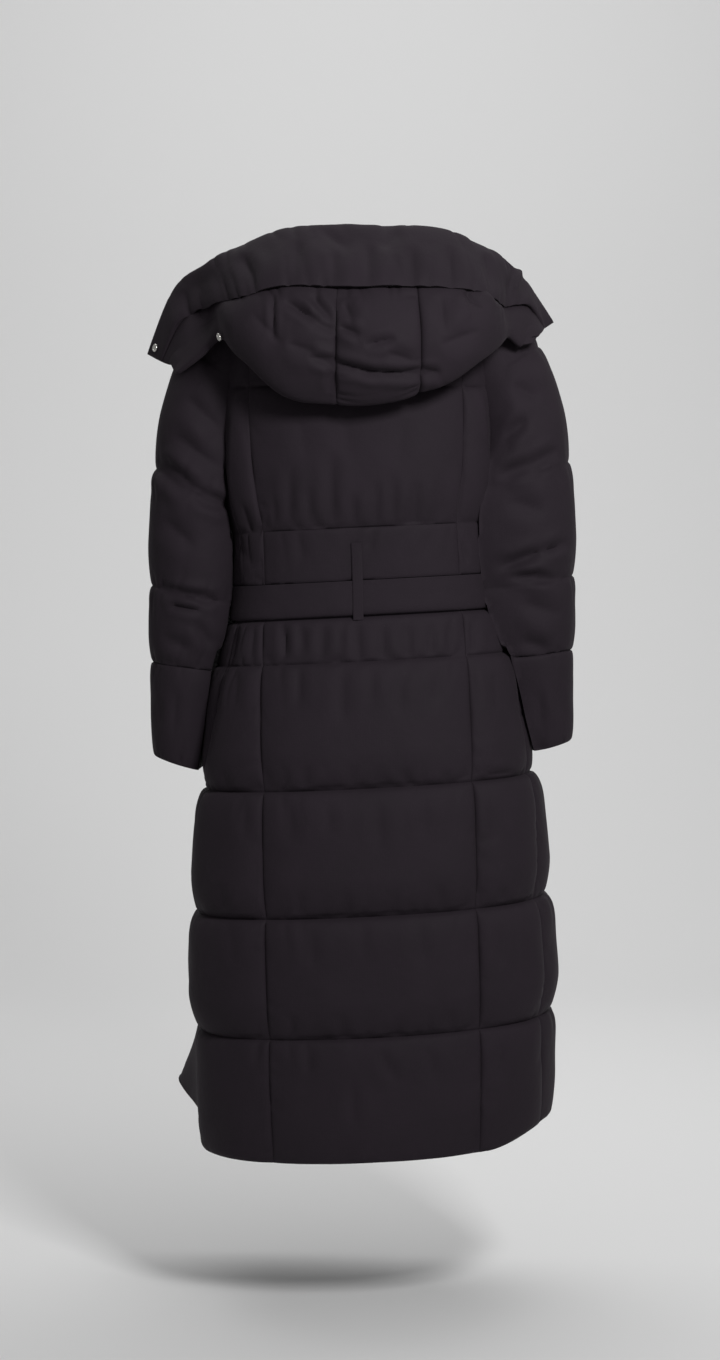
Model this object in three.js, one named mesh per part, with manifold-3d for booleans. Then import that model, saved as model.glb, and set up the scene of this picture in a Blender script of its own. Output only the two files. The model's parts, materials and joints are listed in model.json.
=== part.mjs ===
// Long hooded puffer coat, worn, with its own belt
// Millimetres. +Z up, +X to the wearer's left, +Y out of the back. The origin is the centre of the neckline.
import * as THREE from "three";
import Module from "manifold-3d";

// Driving sizes of the cloth
const SHELL = 3;                 // thickness of the quilted cloth along a stitched seam
const SEAM_GAP = 0.3;            // clear gap between two pieces that are sewn together
const BODY_PUFF = 13;            // how far the down lifts the middle of a body baffle
const SLEEVE_PUFF = 7;
const SEAM_FULLNESS = 0.4;       // share of the down's height that stays at the seams that run down the body
const HEM_FULLNESS = 0.55;       // share that stays at the folded hem
const HOOD_PUFF = 9;
const BRIM_PUFF = 13;
const WING_FULLNESS = 0.4;       // the brim is flatter towards its front ends
const SUNK_RISE = 0.25;          // a baffle is full from this share of its height
const SUNK_FALL = 0.55;          // and turns in again from this one
const LINING_PUFF = 2;           // the hood layer that lies on the back and shoulders
const BAND_FULLNESS = 0.45;      // the band over the belt is drawn in

// Driving sizes of the trimmings
const BELT_THICKNESS = 6;
const LOOP_WIDTH = 14;
const LOOP_THICKNESS = 1.8;
const LOOP_CENTRE = 6;           // sideways from the middle of the body
const LOOP_TOP = -399;
const LOOP_LEAVES_BAND = -430;   // below this it bridges to the belt
const LOOP_OVERLAP = 4;          // how far its lower end reaches past the belt
const LOOP_SEAT = 0.9;           // clear gap from the belt to the loop
const BELT_EDGE = 2;             // the belt is thinned at this distance from its seams with the body
const BELT_ROUNDING = 12;        // and has its whole thickness from this one
const BELT_EDGE_SHARE = 0.5;
const BELT_STEP_FROM = 0.3;      // angle from the centre front where the belt climbs onto the placket
const BELT_STEP_TO = 0.6;
const BELT_SEAT = 0.4;           // clear gap from the belt to what it lies on
const PLACKET_WIDTH = 54;
const PLACKET_MARGIN = 3;        // the fronts stay flat this far past the placket
const PLACKET_EDGE = 2.2;        // its thickness where it is stitched across
const PLACKET_PUFF = 5;
const SNAP_DIAMETER = 11.5;
const SNAP_THICKNESS = 2.5;
const SNAP_SEAT = 0.6;
const SNAP_BEVEL = 0.8;
const SNAP_FACES = 16;

// Where the two snaps lie on the hood, as a station and a line of its table below
const WING_SNAP_STATION = 0.22;
const WING_SNAP_LINE = 4.5;
const CROWN_SNAP_STATION = 2.35;
const CROWN_SNAP_LINE = 2.45;

// Heights of the cross seams of the body at the centre back
const WAIST_SEAM = -378;
const BELT_TOP = -450;
const BELT_BOTTOM = -501;
const HEM = -1243;

// The worn coat hangs askew: its cross seams drop towards the wearer's left
const SEAM_TILT = -0.052;
const TILT_STARTS = -180;
const TILT_FULL = -430;

// The hem rises towards the front, past this depth
const HEM_RISE = 0.25;
const HEM_RISE_FROM = 30;
const HEM_RISE_STARTS = -1074;

// The lower part of the left front swings out to the side and forwards
const FRONT_SWING_LEFT = 88;
const FRONT_SWING_FORWARD = 84;
const FRONT_SWING_STARTS = -920;
const FRONT_SWING_ANGLE = -36;
const FRONT_SWING_SIDE_SPREAD = 16;
const FRONT_SWING_FRONT_SPREAD = 34;
const FRONT_SWING_GROWTH = 1.4;  // how fast it grows towards the hem

// The shoulders slope, so the down there lifts the cloth up as well as out
const SLOPE_FROM = -95;
const SLOPE_FULL = -14;
const SLOPE_LEVEL_LOSS = 0.55;
const SLOPE_LIFT = 0.8;

// Body sections from neckline to hem, measured over the seams
// z height, centre sideways shift, half half-width, back and front depth, round exponent of the section,
// princess half-width of the centre back panel, side_left and side_right angle of the side seams to the back
const BODY_SECTIONS = table("z centre half back front round princess side_left side_right", [
  [0, 2, 82, 68, 62, 2.0, 50, 4, 4],
  [-14, 4, 122, 80, 72, 2.1, 74, 4, 4],
  [-32, 6, 162, 92, 84, 2.2, 104, 4, 4],
  [-58, 8, 193, 104, 95, 2.3, 128, 6, 6],
  [-95, 9, 203, 112, 108, 2.4, 140, 12, 12],
  [-185, 9, 202, 121, 127, 2.5, 146, 20, 20],
  [-267, 7, 197, 122, 133, 2.5, 144, 22, 22],
  [-330, 5, 187, 119, 130, 2.5, 138, 22, 22],
  [WAIST_SEAM, 3, 179, 115, 126, 2.4, 133, 22, 22],
  [BELT_TOP, 0, 178, 112, 122, 2.4, 134, 22, 20],
  [BELT_BOTTOM, -1, 184, 113, 122, 2.4, 136, 22, 18],
  [-562, -3, 202, 124, 130, 2.3, 139, 23, 16],
  [-650, -5, 214, 139, 142, 2.3, 141, 16, 14],
  [-735, -8, 228, 152, 155, 2.3, 142, 6, 16],
  [-909, -12, 244, 166, 170, 2.3, 143, 5, 23],
  [-1000, -15, 249, 171, 176, 2.3, 143, 5, 24],
  [-1074, -17, 247, 175, 180, 2.3, 143, 5, 24],
  [HEM, -20, 243, 180, 185, 2.2, 140, 6, 22],
]);

// Baffles of the body from neckline to hem: where each ends, how full it is and how many rows it takes
const BODY_BAFFLES = table("bottom fullness rows plain_rows", [
  [-58, 0.12, 4, 2],
  [-185, 0.7, 4, 2],
  [WAIST_SEAM, 0.8, 6, 3],
  [BELT_TOP, BAND_FULLNESS, 3, 1],
  [BELT_BOTTOM, 0, 1, 1],
  [-562, 0.7, 4, 1],
  [-735, 1.1, 5, 1],
  [-909, 1.15, 5, 1],
  [-1074, 1.1, 5, 1],
  [HEM, 0.9, 5, 1],
]);

// Sleeve from the armhole to the end of the cuff, wearer's left: centre line and half sizes of the section
// half is in the plane of the shoulders, depth is front to back, slant is how much higher the outer side is
const SLEEVE_SECTIONS = table("x y z half depth slant", [
  [118, 0, -84, 40, 44, 0],
  [152, 0, -108, 74, 78, 0],
  [186, 2, -152, 68, 78, 6],
  [212, 5, -215, 62, 74, 16],
  [231, 8, -293, 60, 70, 23],
  [238, 9, -392, 60, 66, 19],
  [242, 6, -480, 58, 62, 9],
  [248, 0, -565, 52, 56, 2],
  [257, -8, -643, 41, 49, 4],
  [261, -14, -712, 38, 46, 9],
]);
const SLEEVE_SWELL_OUT = 3;      // measured widths are over the down, sections are over the seams
const RIGHT_SLEEVE_LIFT = 0.97;  // the right sleeve ends a little higher
const RIGHT_SLEEVE_WIDER = 5;    // it is bent, so it spreads towards the body
const WIDER_FROM = 2;            // between these two rows of the table
const WIDER_FULL = 5;
const ARMPIT = -262;
const SLEEVE_CLEARANCE = 1.5;
const SWELL_MARGIN = 22;         // the cross seams tilt by up to this much
const NECK_FADE = 24;            // over the neckline the body's form closes within this height

// Baffles of the sleeve along its centre line, in rows of the table above
const SLEEVE_BAFFLES = table("end fullness rows plain_rows", [
  [2.2, 0.4, 5, 3],
  [4.3, 0.9, 6, 3],
  [5.9, 1.0, 6, 2],
  [7.1, 0.9, 5, 2],
  [9, 0.9, 5, 2],
]);
const CUFF_BAFFLE = 4;
const CUFF_GAP = 0.006;          // clear gap over the cuff, in rows of the table
const SLEEVE_COLUMNS = 24;

// Hood, laid back: stations from the left front end round the back to the right front end
// neck is the angle on the neckline; the five lines of the cloth are rest, where it lies on the coat,
// fold, the bottom of the bag, belly, its fullest line, seam, where the brim is sewn on, and rim, the edge
const HOOD_STATIONS = table(
  "neck rest_x rest_y rest_z fold_x fold_y fold_z belly_x belly_y belly_z"
  + " seam_x seam_y seam_z rim_x rim_y rim_z", [
    [-62, 176, -30, -32, 248, 72, -157, 264, 42, -152, 280, 14, -145, 304, -24, -131],
    [-28, 184, 26, -28, 220, 94, -140, 236, 72, -114, 246, 48, -84, 258, 12, -37],
    [14, 150, 78, -34, 188, 110, -116, 198, 111, -92, 201, 94, -63, 208, 58, -9],
    [42, 112, 118, -62, 153, 148, -144, 163, 166, -109, 153, 148, -62, 154, 86, 11],
    [63, 62, 138, -92, 97, 163, -197, 103, 194, -134, 97, 172, -52, 97, 103, 29],
    [90, 0, 143, -106, 0, 168, -211, 0, 203, -135, 0, 180, -54, 0, 108, 30],
    [117, -62, 138, -92, -93, 163, -187, -99, 194, -128, -93, 172, -52, -94, 102, 28],
    [138, -112, 118, -62, -154, 148, -146, -163, 166, -105, -155, 150, -57, -150, 88, 12],
    [166, -150, 78, -34, -190, 112, -114, -198, 112, -90, -194, 97, -66, -196, 56, -7],
    [208, -182, 26, -28, -214, 86, -124, -226, 71, -98, -230, 49, -72, -228, 15, -38],
    [242, -170, -30, -32, -220, 64, -123, -236, 43, -113, -250, 23, -102, -270, -6, -88],
  ]);
const HOOD_LINES = ["neck", "rest", "fold", "belly", "seam", "rim"];
const NECK_ROLL = 0.15;          // the cloth rolls up off the neckline within this share of the first span
const HOOD_SHOWS_FROM = 2;       // below this line the hood lies on the back and isn't seen
const HOOD_BAG_LINE = 4;         // the brim starts at this line
const CROWN_SEAM_LEFT = 4.67;    // stations where the crown's two seams run
const CROWN_SEAM_RIGHT = 5.77;
const HOOD_COLUMNS_PER_STATION = 3;
const HOOD_CLEARANCE = 18;       // height of the hood's inner side over the seams of what it lies on
const STATION_GAP = 0.002;       // half the clear gap at the crown's seams, in stations
const LINE_GAP = 0.004;          // and at the brim's seam, in lines
const BRIM_END_FILLS = 1.4;      // the brim is full again soon after its ends
const SHOULDER_FROM = 1;         // rows of the sleeve's table that the hood lies on
const SHOULDER_TO = 5;
const SHOULDER_STEP = 0.25;

// Largest folds of the cloth, each a soft trough between two points seen from behind
const FOLDS = table("piece x0 z0 x1 z1 width depth", [
  ["back_centre_top", 98, -285, 100, -372, 8, 3],
  ["back_centre_top", 42, -265, 42, -372, 9, 4.5],
  ["back_centre_top", -20, -308, -18, -375, 8, 3.5],
  ["back_centre_top", -74, -305, -72, -375, 8, 3],
  ["back_centre_skirt", 108, -510, 106, -556, 6, 4],
  ["back_centre_skirt", 52, -510, 56, -556, 7, 4],
  ["back_centre_skirt", 8, -508, 6, -560, 7, 4.5],
  ["back_centre_skirt", -28, -508, -30, -556, 6, 4],
  ["back_centre_skirt", -96, -510, -94, -554, 7, 3],
  ["back_centre_skirt", 30, -568, 26, -634, 10, 3],
  ["back_centre_skirt", -48, -568, -52, -624, 10, 2.5],
  ["back_centre_skirt", 12, -1118, 12, -1186, 9, 3],
  ["back_centre_skirt", -22, -1086, -50, -1124, 8, 3],
  ["sleeve_left", 288, -284, 232, -332, 11, 6],
  ["sleeve_left", 236, -332, 182, -350, 9, 5.5],
  ["sleeve_left", 282, -466, 198, -480, 7, 5],
  ["sleeve_left", 248, -195, 186, -250, 13, 3.5],
  ["sleeve_right", -192, -256, -230, -228, 9, 4.5],
  ["sleeve_right", -192, -306, -240, -288, 9, 5.5],
  ["sleeve_right", -236, -290, -272, -270, 8, 4.5],
  ["sleeve_right", -190, -434, -252, -410, 8, 5.5],
  ["sleeve_right", -250, -412, -288, -398, 7, 3.5],
  ["sleeve_right", -202, -445, -270, -448, 7, 4.5],
  ["hood_centre", 34, -160, -20, -171, 6, 5],
  ["hood_centre", -16, -171, -75, -173, 6, 5],
  ["hood_centre", 32, -112, 2, -125, 6, 4],
  ["hood_side_left", 62, -156, 33, -160, 6, 5],
  ["hood_side_left", 102, -80, 56, -108, 6, 4.5],
  ["hood_side_left", 68, -72, 37, -109, 6, 4],
  ["hood_side_right", -164, -56, -185, -80, 6, 4],
  ["hood_side_right", -134, -64, -156, -89, 8, 4],
  ["hood_brim", 158, -16, 136, -53, 9, 3.5],
  ["hood_brim", -114, -10, -117, -52, 9, 3],
  ["hood_brim", 243, -49, 232, -121, 15, 6],
]);
const FOLD_FACES_FROM = 20;      // a fold fades out on cloth that lies less than this far behind the middle
const FOLD_FADE = 2.5;

// Colours
const CLOTH = new THREE.Color("#2c282b");
const SILVER = new THREE.Color("#c9cbd0");

const wasm = await Module();
wasm.setup();

const DEGREE = Math.PI / 180;

// Tables with named columns, and smooth values between their rows

function table(columns, rows) {
  const names = columns.split(" ");
  return rows.map((row) => Object.fromEntries(names.map((name, i) => [name, row[i]])));
}

function catmull(before, start, end, after, t) {
  const slope0 = (end - before) / 2;
  const slope1 = (after - start) / 2;
  const t2 = t * t;
  const t3 = t2 * t;
  const startPart = (2 * t3 - 3 * t2 + 1) * start + (t3 - 2 * t2 + t) * slope0;
  return startPart + (3 * t2 - 2 * t3) * end + (t3 - t2) * slope1;
}

function rowBetween(rows, position, name) {
  const last = rows.length - 1;
  const i = Math.min(Math.max(Math.floor(position), 0), last - 1);
  const at = (k) => rows[Math.min(Math.max(k, 0), last)][name];
  return catmull(at(i - 1), at(i), at(i + 1), at(i + 2), position - i);
}

function smoothstep(from, to, value) {
  const s = Math.min(Math.max((value - from) / (to - from), 0), 1);
  return s * s * (3 - 2 * s);
}

// The section of the body at one height, smooth between rows and never outside them
function bodySection(z) {
  const rows = BODY_SECTIONS;
  let i = 0;
  while (i < rows.length - 2 && z < rows[i + 1].z) i += 1;
  const t = Math.min(Math.max((z - rows[i].z) / (rows[i + 1].z - rows[i].z), 0), 1);
  const section = {};
  for (const name of Object.keys(rows[0])) {
    const slopeIn = i > 0 ? tangent(rows, i, name) : difference(rows, i, name);
    const slopeOut = i + 2 < rows.length ? tangent(rows, i + 1, name) : difference(rows, i, name);
    const span = rows[i + 1].z - rows[i].z;
    const t2 = t * t;
    const t3 = t2 * t;
    section[name] = (2 * t3 - 3 * t2 + 1) * rows[i][name] + (t3 - 2 * t2 + t) * span * slopeIn
      + (3 * t2 - 2 * t3) * rows[i + 1][name] + (t3 - t2) * span * slopeOut;
  }
  return section;
}

function difference(rows, i, name) {
  return (rows[i + 1][name] - rows[i][name]) / (rows[i + 1].z - rows[i].z);
}

function tangent(rows, i, name) {
  const a = difference(rows, i - 1, name);
  const b = difference(rows, i, name);
  return a * b <= 0 ? 0 : (2 * a * b) / (a + b);
}

// How deep the piece's folds are at a point of its outer skin
function foldDepth(piece, point) {
  let depth = 0;
  for (const fold of FOLDS.filter((row) => row.piece === piece)) {
    const runX = fold.x1 - fold.x0;
    const runZ = fold.z1 - fold.z0;
    const along = ((point.x - fold.x0) * runX + (point.z - fold.z0) * runZ) / (runX * runX + runZ * runZ);
    const share = Math.min(Math.max(along, 0), 1);
    const off = Math.hypot(point.x - fold.x0 - share * runX, point.z - fold.z0 - share * runZ) / fold.width;
    const taper = 1 - Math.pow(Math.abs(2 * share - 1), FOLD_FADE);
    depth += fold.depth * Math.exp(-off * off) * Math.max(taper, 0);
  }
  return depth * smoothstep(0, FOLD_FACES_FROM, point.y);
}

// Closed solids from grids of points

// Cloth between an outer skin on a grid of columns and rows and a plain inner skin on fewer of the rows
function clothSolid(outer, inner, innerRows, ring) {
  const columnCount = outer[0].length;
  const points = [...outer.flat(), ...inner.flat()];
  const innerStart = outer.length * columnCount;
  const outerAt = (row, column) => row * columnCount + (column % columnCount);
  const innerAt = (row, column) => innerStart + row * columnCount + (column % columnCount);
  const faces = [];
  const quad = (a, b, c, d) => faces.push([a, b, c], [a, c, d]);
  const spans = ring ? columnCount : columnCount - 1;
  for (let column = 0; column < spans; column += 1) {
    for (let row = 0; row + 1 < outer.length; row += 1) {
      const low = row + 1;
      quad(outerAt(row, column), outerAt(low, column), outerAt(low, column + 1), outerAt(row, column + 1));
    }
    for (let row = 0; row + 1 < inner.length; row += 1) {
      const low = row + 1;
      quad(innerAt(row, column), innerAt(row, column + 1), innerAt(low, column + 1), innerAt(low, column));
    }
    const lastOuter = outer.length - 1;
    const lastInner = inner.length - 1;
    quad(outerAt(0, column), outerAt(0, column + 1), innerAt(0, column + 1), innerAt(0, column));
    quad(outerAt(lastOuter, column), innerAt(lastInner, column), innerAt(lastInner, column + 1),
      outerAt(lastOuter, column + 1));
  }
  if (!ring) {
    for (const [column, turned] of [[0, true], [columnCount - 1, false]]) {
      const face = (a, b, c) => faces.push(turned ? [a, c, b] : [a, b, c]);
      for (let row = 0; row + 1 < inner.length; row += 1) {
        const first = innerRows[row];
        const last = innerRows[row + 1];
        const middle = Math.floor((first + last) / 2);
        for (let k = first; k < last; k += 1) {
          const apex = k < middle ? innerAt(row, column) : innerAt(row + 1, column);
          face(outerAt(k, column), outerAt(k + 1, column), apex);
        }
        face(innerAt(row, column), outerAt(middle, column), innerAt(row + 1, column));
      }
    }
  }
  return solid(points, faces);
}

// A filled solid inside a stack of rings
function filledSolid(rings) {
  const count = rings[0].length;
  const points = rings.flat();
  const top = points.push(middleOf(rings[0])) - 1;
  const bottom = points.push(middleOf(rings[rings.length - 1])) - 1;
  const faces = [];
  for (let column = 0; column < count; column += 1) {
    const next = (column + 1) % count;
    for (let row = 0; row + 1 < rings.length; row += 1) {
      const a = row * count + column;
      const b = row * count + next;
      faces.push([a, a + count, b + count], [a, b + count, b]);
    }
    const last = (rings.length - 1) * count;
    faces.push([top, column, next], [bottom, last + next, last + column]);
  }
  return solid(points, faces);
}

function middleOf(ring) {
  const sum = new THREE.Vector3();
  for (const point of ring) sum.add(point);
  return sum.divideScalar(ring.length);
}

// The faces are turned so that they all point out
function solid(points, faces) {
  let volume = 0;
  for (const [a, b, c] of faces) {
    volume += points[a].dot(new THREE.Vector3().crossVectors(points[b], points[c]));
  }
  const turned = volume < 0 ? faces.map(([a, b, c]) => [a, c, b]) : faces;
  return new wasm.Manifold(new wasm.Mesh({
    numProp: 3,
    vertProperties: new Float32Array(points.flatMap((p) => [p.x, p.y, p.z])),
    triVerts: new Uint32Array(turned.flat()),
  }));
}

function meshOf(name, manifold, material) {
  const mesh = manifold.getMesh();
  const geometry = new THREE.BufferGeometry();
  geometry.setAttribute("position", new THREE.BufferAttribute(new Float32Array(mesh.vertProperties), 3));
  geometry.setIndex(new THREE.BufferAttribute(new Uint32Array(mesh.triVerts), 1));
  geometry.computeVertexNormals();
  const made = new THREE.Mesh(geometry, material);
  made.name = name;
  return made;
}

// How full the down is across a baffle, nothing at its seams and 1 in the middle
function pillow(s) {
  return Math.pow(Math.max(1 - Math.pow(Math.abs(2 * s - 1), 3), 0), 0.6);
}

// How full a baffle is from its top seam to its bottom: the down sinks, so it turns in slowly below
function sunkenPillow(s, bottomShare) {
  const rise = Math.min(s / SUNK_RISE, 1);
  const fall = Math.max((s - SUNK_FALL) / (1 - SUNK_FALL), 0);
  const under = bottomShare + (1 - bottomShare) * Math.sqrt(Math.max(1 - fall * fall, 0));
  return Math.min(Math.sqrt(1 - (1 - rise) * (1 - rise)), under);
}

// How full a panel is across, with the share of its fullness that stays at each of its two seams
function acrossPanel(s, startShare, endShare) {
  const share = s < 0.5 ? startShare : endShare;
  return share + (1 - share) * pillow(s);
}

// Steps that crowd towards both ends, where the down rounds off
function crowdedSteps(count) {
  return Array.from({ length: count + 1 }, (_, i) => (1 - Math.cos((Math.PI * i) / count)) / 2);
}

// Body

// A point on the body at a nominal height and an angle, moved out level by some distance
function bodyPoint(z, angle, out) {
  const section = bodySection(z);
  const cos = Math.cos(angle);
  const sin = Math.sin(angle);
  const power = 2 / section.round;
  const depth = sin > 0 ? section.back : section.front;
  const x = section.half * Math.sign(cos) * Math.pow(Math.abs(cos), power);
  const y = depth * Math.sign(sin) * Math.pow(Math.abs(sin), power);
  const normal = bodyNormal(section, depth, x, y);
  const swing = frontSwing(z, angle);
  const px = section.centre + x + normal.x * out + FRONT_SWING_LEFT * swing;
  const py = y + normal.y * out - FRONT_SWING_FORWARD * swing;
  const tilt = SEAM_TILT * smoothstep(TILT_STARTS, TILT_FULL, z) * px;
  const below = Math.min(Math.max((HEM_RISE_STARTS - z) / (HEM_RISE_STARTS - HEM), 0), 1);
  const rise = HEM_RISE * Math.max(HEM_RISE_FROM - py, 0) * below;
  const slope = normal.slope * out;
  return new THREE.Vector3(px, py, z + tilt + rise + slope);
}

// The level direction out of a section, leaning up where the shoulders slope
function bodyNormal(section, depth, x, y) {
  const nx = Math.sign(x) * Math.pow(Math.abs(x) / section.half, section.round - 1) / section.half;
  const ny = Math.sign(y) * Math.pow(Math.abs(y) / depth, section.round - 1) / depth;
  const length = Math.hypot(nx, ny) || 1;
  const up = smoothstep(SLOPE_FROM, SLOPE_FULL, section.z);
  const level = 1 - SLOPE_LEVEL_LOSS * up;
  return { x: (nx / length) * level, y: (ny / length) * level, slope: SLOPE_LIFT * up };
}

// How much of the left front's swing a point takes, all of it at the hem
function frontSwing(z, angle) {
  const low = Math.min(Math.max((FRONT_SWING_STARTS - z) / (FRONT_SWING_STARTS - HEM), 0), 1);
  const degrees = angle / DEGREE > 180 ? angle / DEGREE - 360 : angle / DEGREE;
  const spread = degrees > FRONT_SWING_ANGLE ? FRONT_SWING_SIDE_SPREAD : FRONT_SWING_FRONT_SPREAD;
  const away = (degrees - FRONT_SWING_ANGLE) / spread;
  return Math.pow(low, FRONT_SWING_GROWTH) * Math.exp(-away * away);
}

// Angles of the seams that run down the body
const BODY_SEAMS = {
  left_princess: (s) => Math.acos(Math.pow(s.princess / s.half, s.round / 2)),
  right_princess: (s) => Math.PI - Math.acos(Math.pow(s.princess / s.half, s.round / 2)),
  left_side: (s) => s.side_left * DEGREE,
  right_side: (s) => Math.PI - s.side_right * DEGREE,
  front_from_left: () => -90 * DEGREE,
  front_from_right: () => 270 * DEGREE,
};

// A closed ring of points round the body at one nominal height
function bodyRing(z, out) {
  return BODY_PANELS.flatMap((panel) => {
    const angles = panelAngles(panel.start, panel.end, crowdedSteps(panel.columns), z);
    return angles.slice(0, -1).map((angle) => bodyPoint(z, angle, out(angle)));
  });
}

// Rows of the whole body: nominal heights, how full each is, and which ones the plain inside uses
function bodyRows() {
  const rows = [];
  let top = 0;
  for (const baffle of BODY_BAFFLES) {
    const steps = crowdedSteps(baffle.rows);
    const every = baffle.rows / baffle.plain_rows;
    steps.forEach((step, i) => {
      if (i === 0 && rows.length > 0) return;
      rows.push({
        z: top + (baffle.bottom - top) * step,
        full: baffle.fullness * sunkenPillow(step, baffle.bottom === HEM ? HEM_FULLNESS : 0),
        inner: i === 0 || i === baffle.rows || Math.abs((i / every) - Math.round(i / every)) < 1e-6,
      });
    });
    top = baffle.bottom;
  }
  return rows;
}

// Outer and inner points of one body panel
function bodyGrid(name, startSeam, endSeam, columns, rows, extra) {
  const steps = crowdedSteps(columns);
  const outer = [];
  const inner = [];
  const innerRows = [];
  rows.forEach((row, index) => {
    const angles = panelAngles(startSeam, endSeam, steps, row.z);
    const back = extra ? 0 : SEAM_GAP / 2;
    const lastAngle = angles.length - 1;
    angles[0] += back / arcSpeed(row.z, angles[0]);
    angles[lastAngle] -= back / arcSpeed(row.z, angles[lastAngle]);
    const shares = [startSeam, endSeam].map((seam) => (seam.startsWith("front") ? 0 : SEAM_FULLNESS));
    const puffs = steps.map((step) => BODY_PUFF * row.full * acrossPanel(step, ...shares));
    if (startSeam.startsWith("front")) puffs.unshift(0);
    if (endSeam.startsWith("front")) puffs.push(0);
    outer.push(angles.map((angle, i) => {
      const fold = foldDepth(name, bodyPoint(row.z, angle, puffs[i]));
      return bodyPoint(row.z, angle, Math.max(puffs[i] - fold, 0) + extra);
    }));
    if (row.inner) {
      inner.push(angles.map((angle) => bodyPoint(row.z, angle, -SHELL)));
      innerRows.push(index);
    }
  });
  return { outer, inner, innerRows };
}

// Angles of a panel's columns at one height, with a flat strip under the placket at the centre front
function panelAngles(startSeam, endSeam, steps, z) {
  const section = bodySection(z);
  const start = BODY_SEAMS[startSeam](section);
  const end = BODY_SEAMS[endSeam](section);
  const strip = (PLACKET_WIDTH / 2 + PLACKET_MARGIN) / arcSpeed(z, -90 * DEGREE);
  const fullStart = startSeam.startsWith("front") ? start + strip : start;
  const fullEnd = endSeam.startsWith("front") ? end - strip : end;
  const angles = steps.map((step) => fullStart + (fullEnd - fullStart) * step);
  if (fullStart !== start) angles.unshift(start);
  if (fullEnd !== end) angles.push(end);
  return angles;
}

function arcSpeed(z, angle) {
  const step = 0.01;
  return bodyPoint(z, angle + step, 0).distanceTo(bodyPoint(z, angle - step, 0)) / (2 * step);
}

// Panels between the seams, each from its start seam to its end seam round the body
const BODY_PANELS = table("name start end columns", [
  ["back_side_left", "left_side", "left_princess", 6],
  ["back_centre", "left_princess", "right_princess", 20],
  ["back_side_right", "right_princess", "right_side", 6],
  ["front_right", "right_side", "front_from_right", 10],
  ["front_left", "front_from_left", "left_side", 10],
]);

function filledBody(rows, extra) {
  const skin = (panel) => bodyGrid(null, panel.start, panel.end, panel.columns, rows, extra).outer;
  const grids = BODY_PANELS.map(skin);
  return filledSolid(rows.map((_, row) => grids.flatMap((grid) => grid[row].slice(0, -1))));
}

// Sleeves

function sleeveFrame(position, side) {
  const at = (k) => new THREE.Vector3(
    rowBetween(SLEEVE_SECTIONS, k, "x"),
    rowBetween(SLEEVE_SECTIONS, k, "y"),
    rowBetween(SLEEVE_SECTIONS, k, "z"),
  );
  const centre = at(position);
  const step = 0.05;
  const last = SLEEVE_SECTIONS.length - 1;
  const along = at(Math.min(position + step, last)).sub(at(Math.max(position - step, 0)));
  along.normalize();
  const depthways = new THREE.Vector3(0, 1, 0);
  const outwards = new THREE.Vector3().crossVectors(depthways, along).normalize().negate();
  if (side < 0) centre.z *= RIGHT_SLEEVE_LIFT;
  return { centre, outwards, depthways };
}

// Half sizes of the sleeve over its seams
function sleeveSizes(position) {
  const at = (name) => rowBetween(SLEEVE_SECTIONS, position, name);
  return { half: at("half") - SLEEVE_SWELL_OUT, depth: at("depth") - SLEEVE_SWELL_OUT, slant: at("slant") };
}

// A ring of the sleeve, moved out by some distance and held clear of the body below the armpit
function sleeveRing(position, side, out, clearance) {
  const { centre, outwards, depthways } = sleeveFrame(position, side);
  const { half, depth, slant } = sleeveSizes(position);
  const wider = side < 0 ? RIGHT_SLEEVE_WIDER * smoothstep(WIDER_FROM, WIDER_FULL, position) : 0;
  const ring = [];
  for (let i = 0; i < SLEEVE_COLUMNS; i += 1) {
    const angle = (2 * Math.PI * i) / SLEEVE_COLUMNS;
    const point = centre.clone();
    point.addScaledVector(outwards, (half + wider + out) * Math.cos(angle) - wider);
    point.addScaledVector(depthways, (depth + out) * Math.sin(angle));
    point.x *= side;
    point.z += slant * Math.cos(angle);
    ring.push(centre.z < ARMPIT ? liftedOff(point, heightOverBody, clearance + bodySwell(point.z)) : point);
  }
  return ring;
}

// How far the down, or the belt, stands out of the body near a height
function bodySwell(z) {
  let swell = BELT_SEAT + BELT_THICKNESS;
  let top = 0;
  for (const baffle of BODY_BAFFLES) {
    const near = z < top + SWELL_MARGIN && z > baffle.bottom - SWELL_MARGIN;
    if (near) swell = Math.max(swell, BODY_PUFF * baffle.fullness);
    top = baffle.bottom;
  }
  return swell;
}

// How far a point lies outside the seams of the body, in about millimetres
function heightOverBody(point) {
  const tilt = SEAM_TILT * smoothstep(TILT_STARTS, TILT_FULL, point.z) * point.x;
  const section = bodySection(Math.min(point.z - tilt, 0));
  const shrink = 1 - Math.max(point.z, 0) / NECK_FADE;
  const depth = point.y > 0 ? section.back : section.front;
  const x = Math.abs(point.x - section.centre) / section.half;
  const y = Math.abs(point.y) / depth;
  const round = section.round;
  const reach = Math.pow(Math.pow(x, round) + Math.pow(y, round), 1 / round);
  return (reach - shrink) * Math.min(section.half, depth);
}

// How far a point lies outside the seams of one sleeve
function heightOverSleeve(point, side) {
  let least = Infinity;
  for (let position = SHOULDER_FROM; position <= SHOULDER_TO; position += SHOULDER_STEP) {
    const { centre, outwards } = sleeveFrame(position, side);
    const { half, depth } = sleeveSizes(position);
    const from = new THREE.Vector3(point.x * side, point.y, point.z).sub(centre);
    const across = from.dot(outwards) / half;
    const deep = from.y / depth;
    const along = (from.length() ** 2 - from.dot(outwards) ** 2 - from.y ** 2) / (half * half);
    least = Math.min(least, (Math.sqrt(across * across + deep * deep + Math.max(along, 0)) - 1) * half);
  }
  return least;
}

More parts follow.
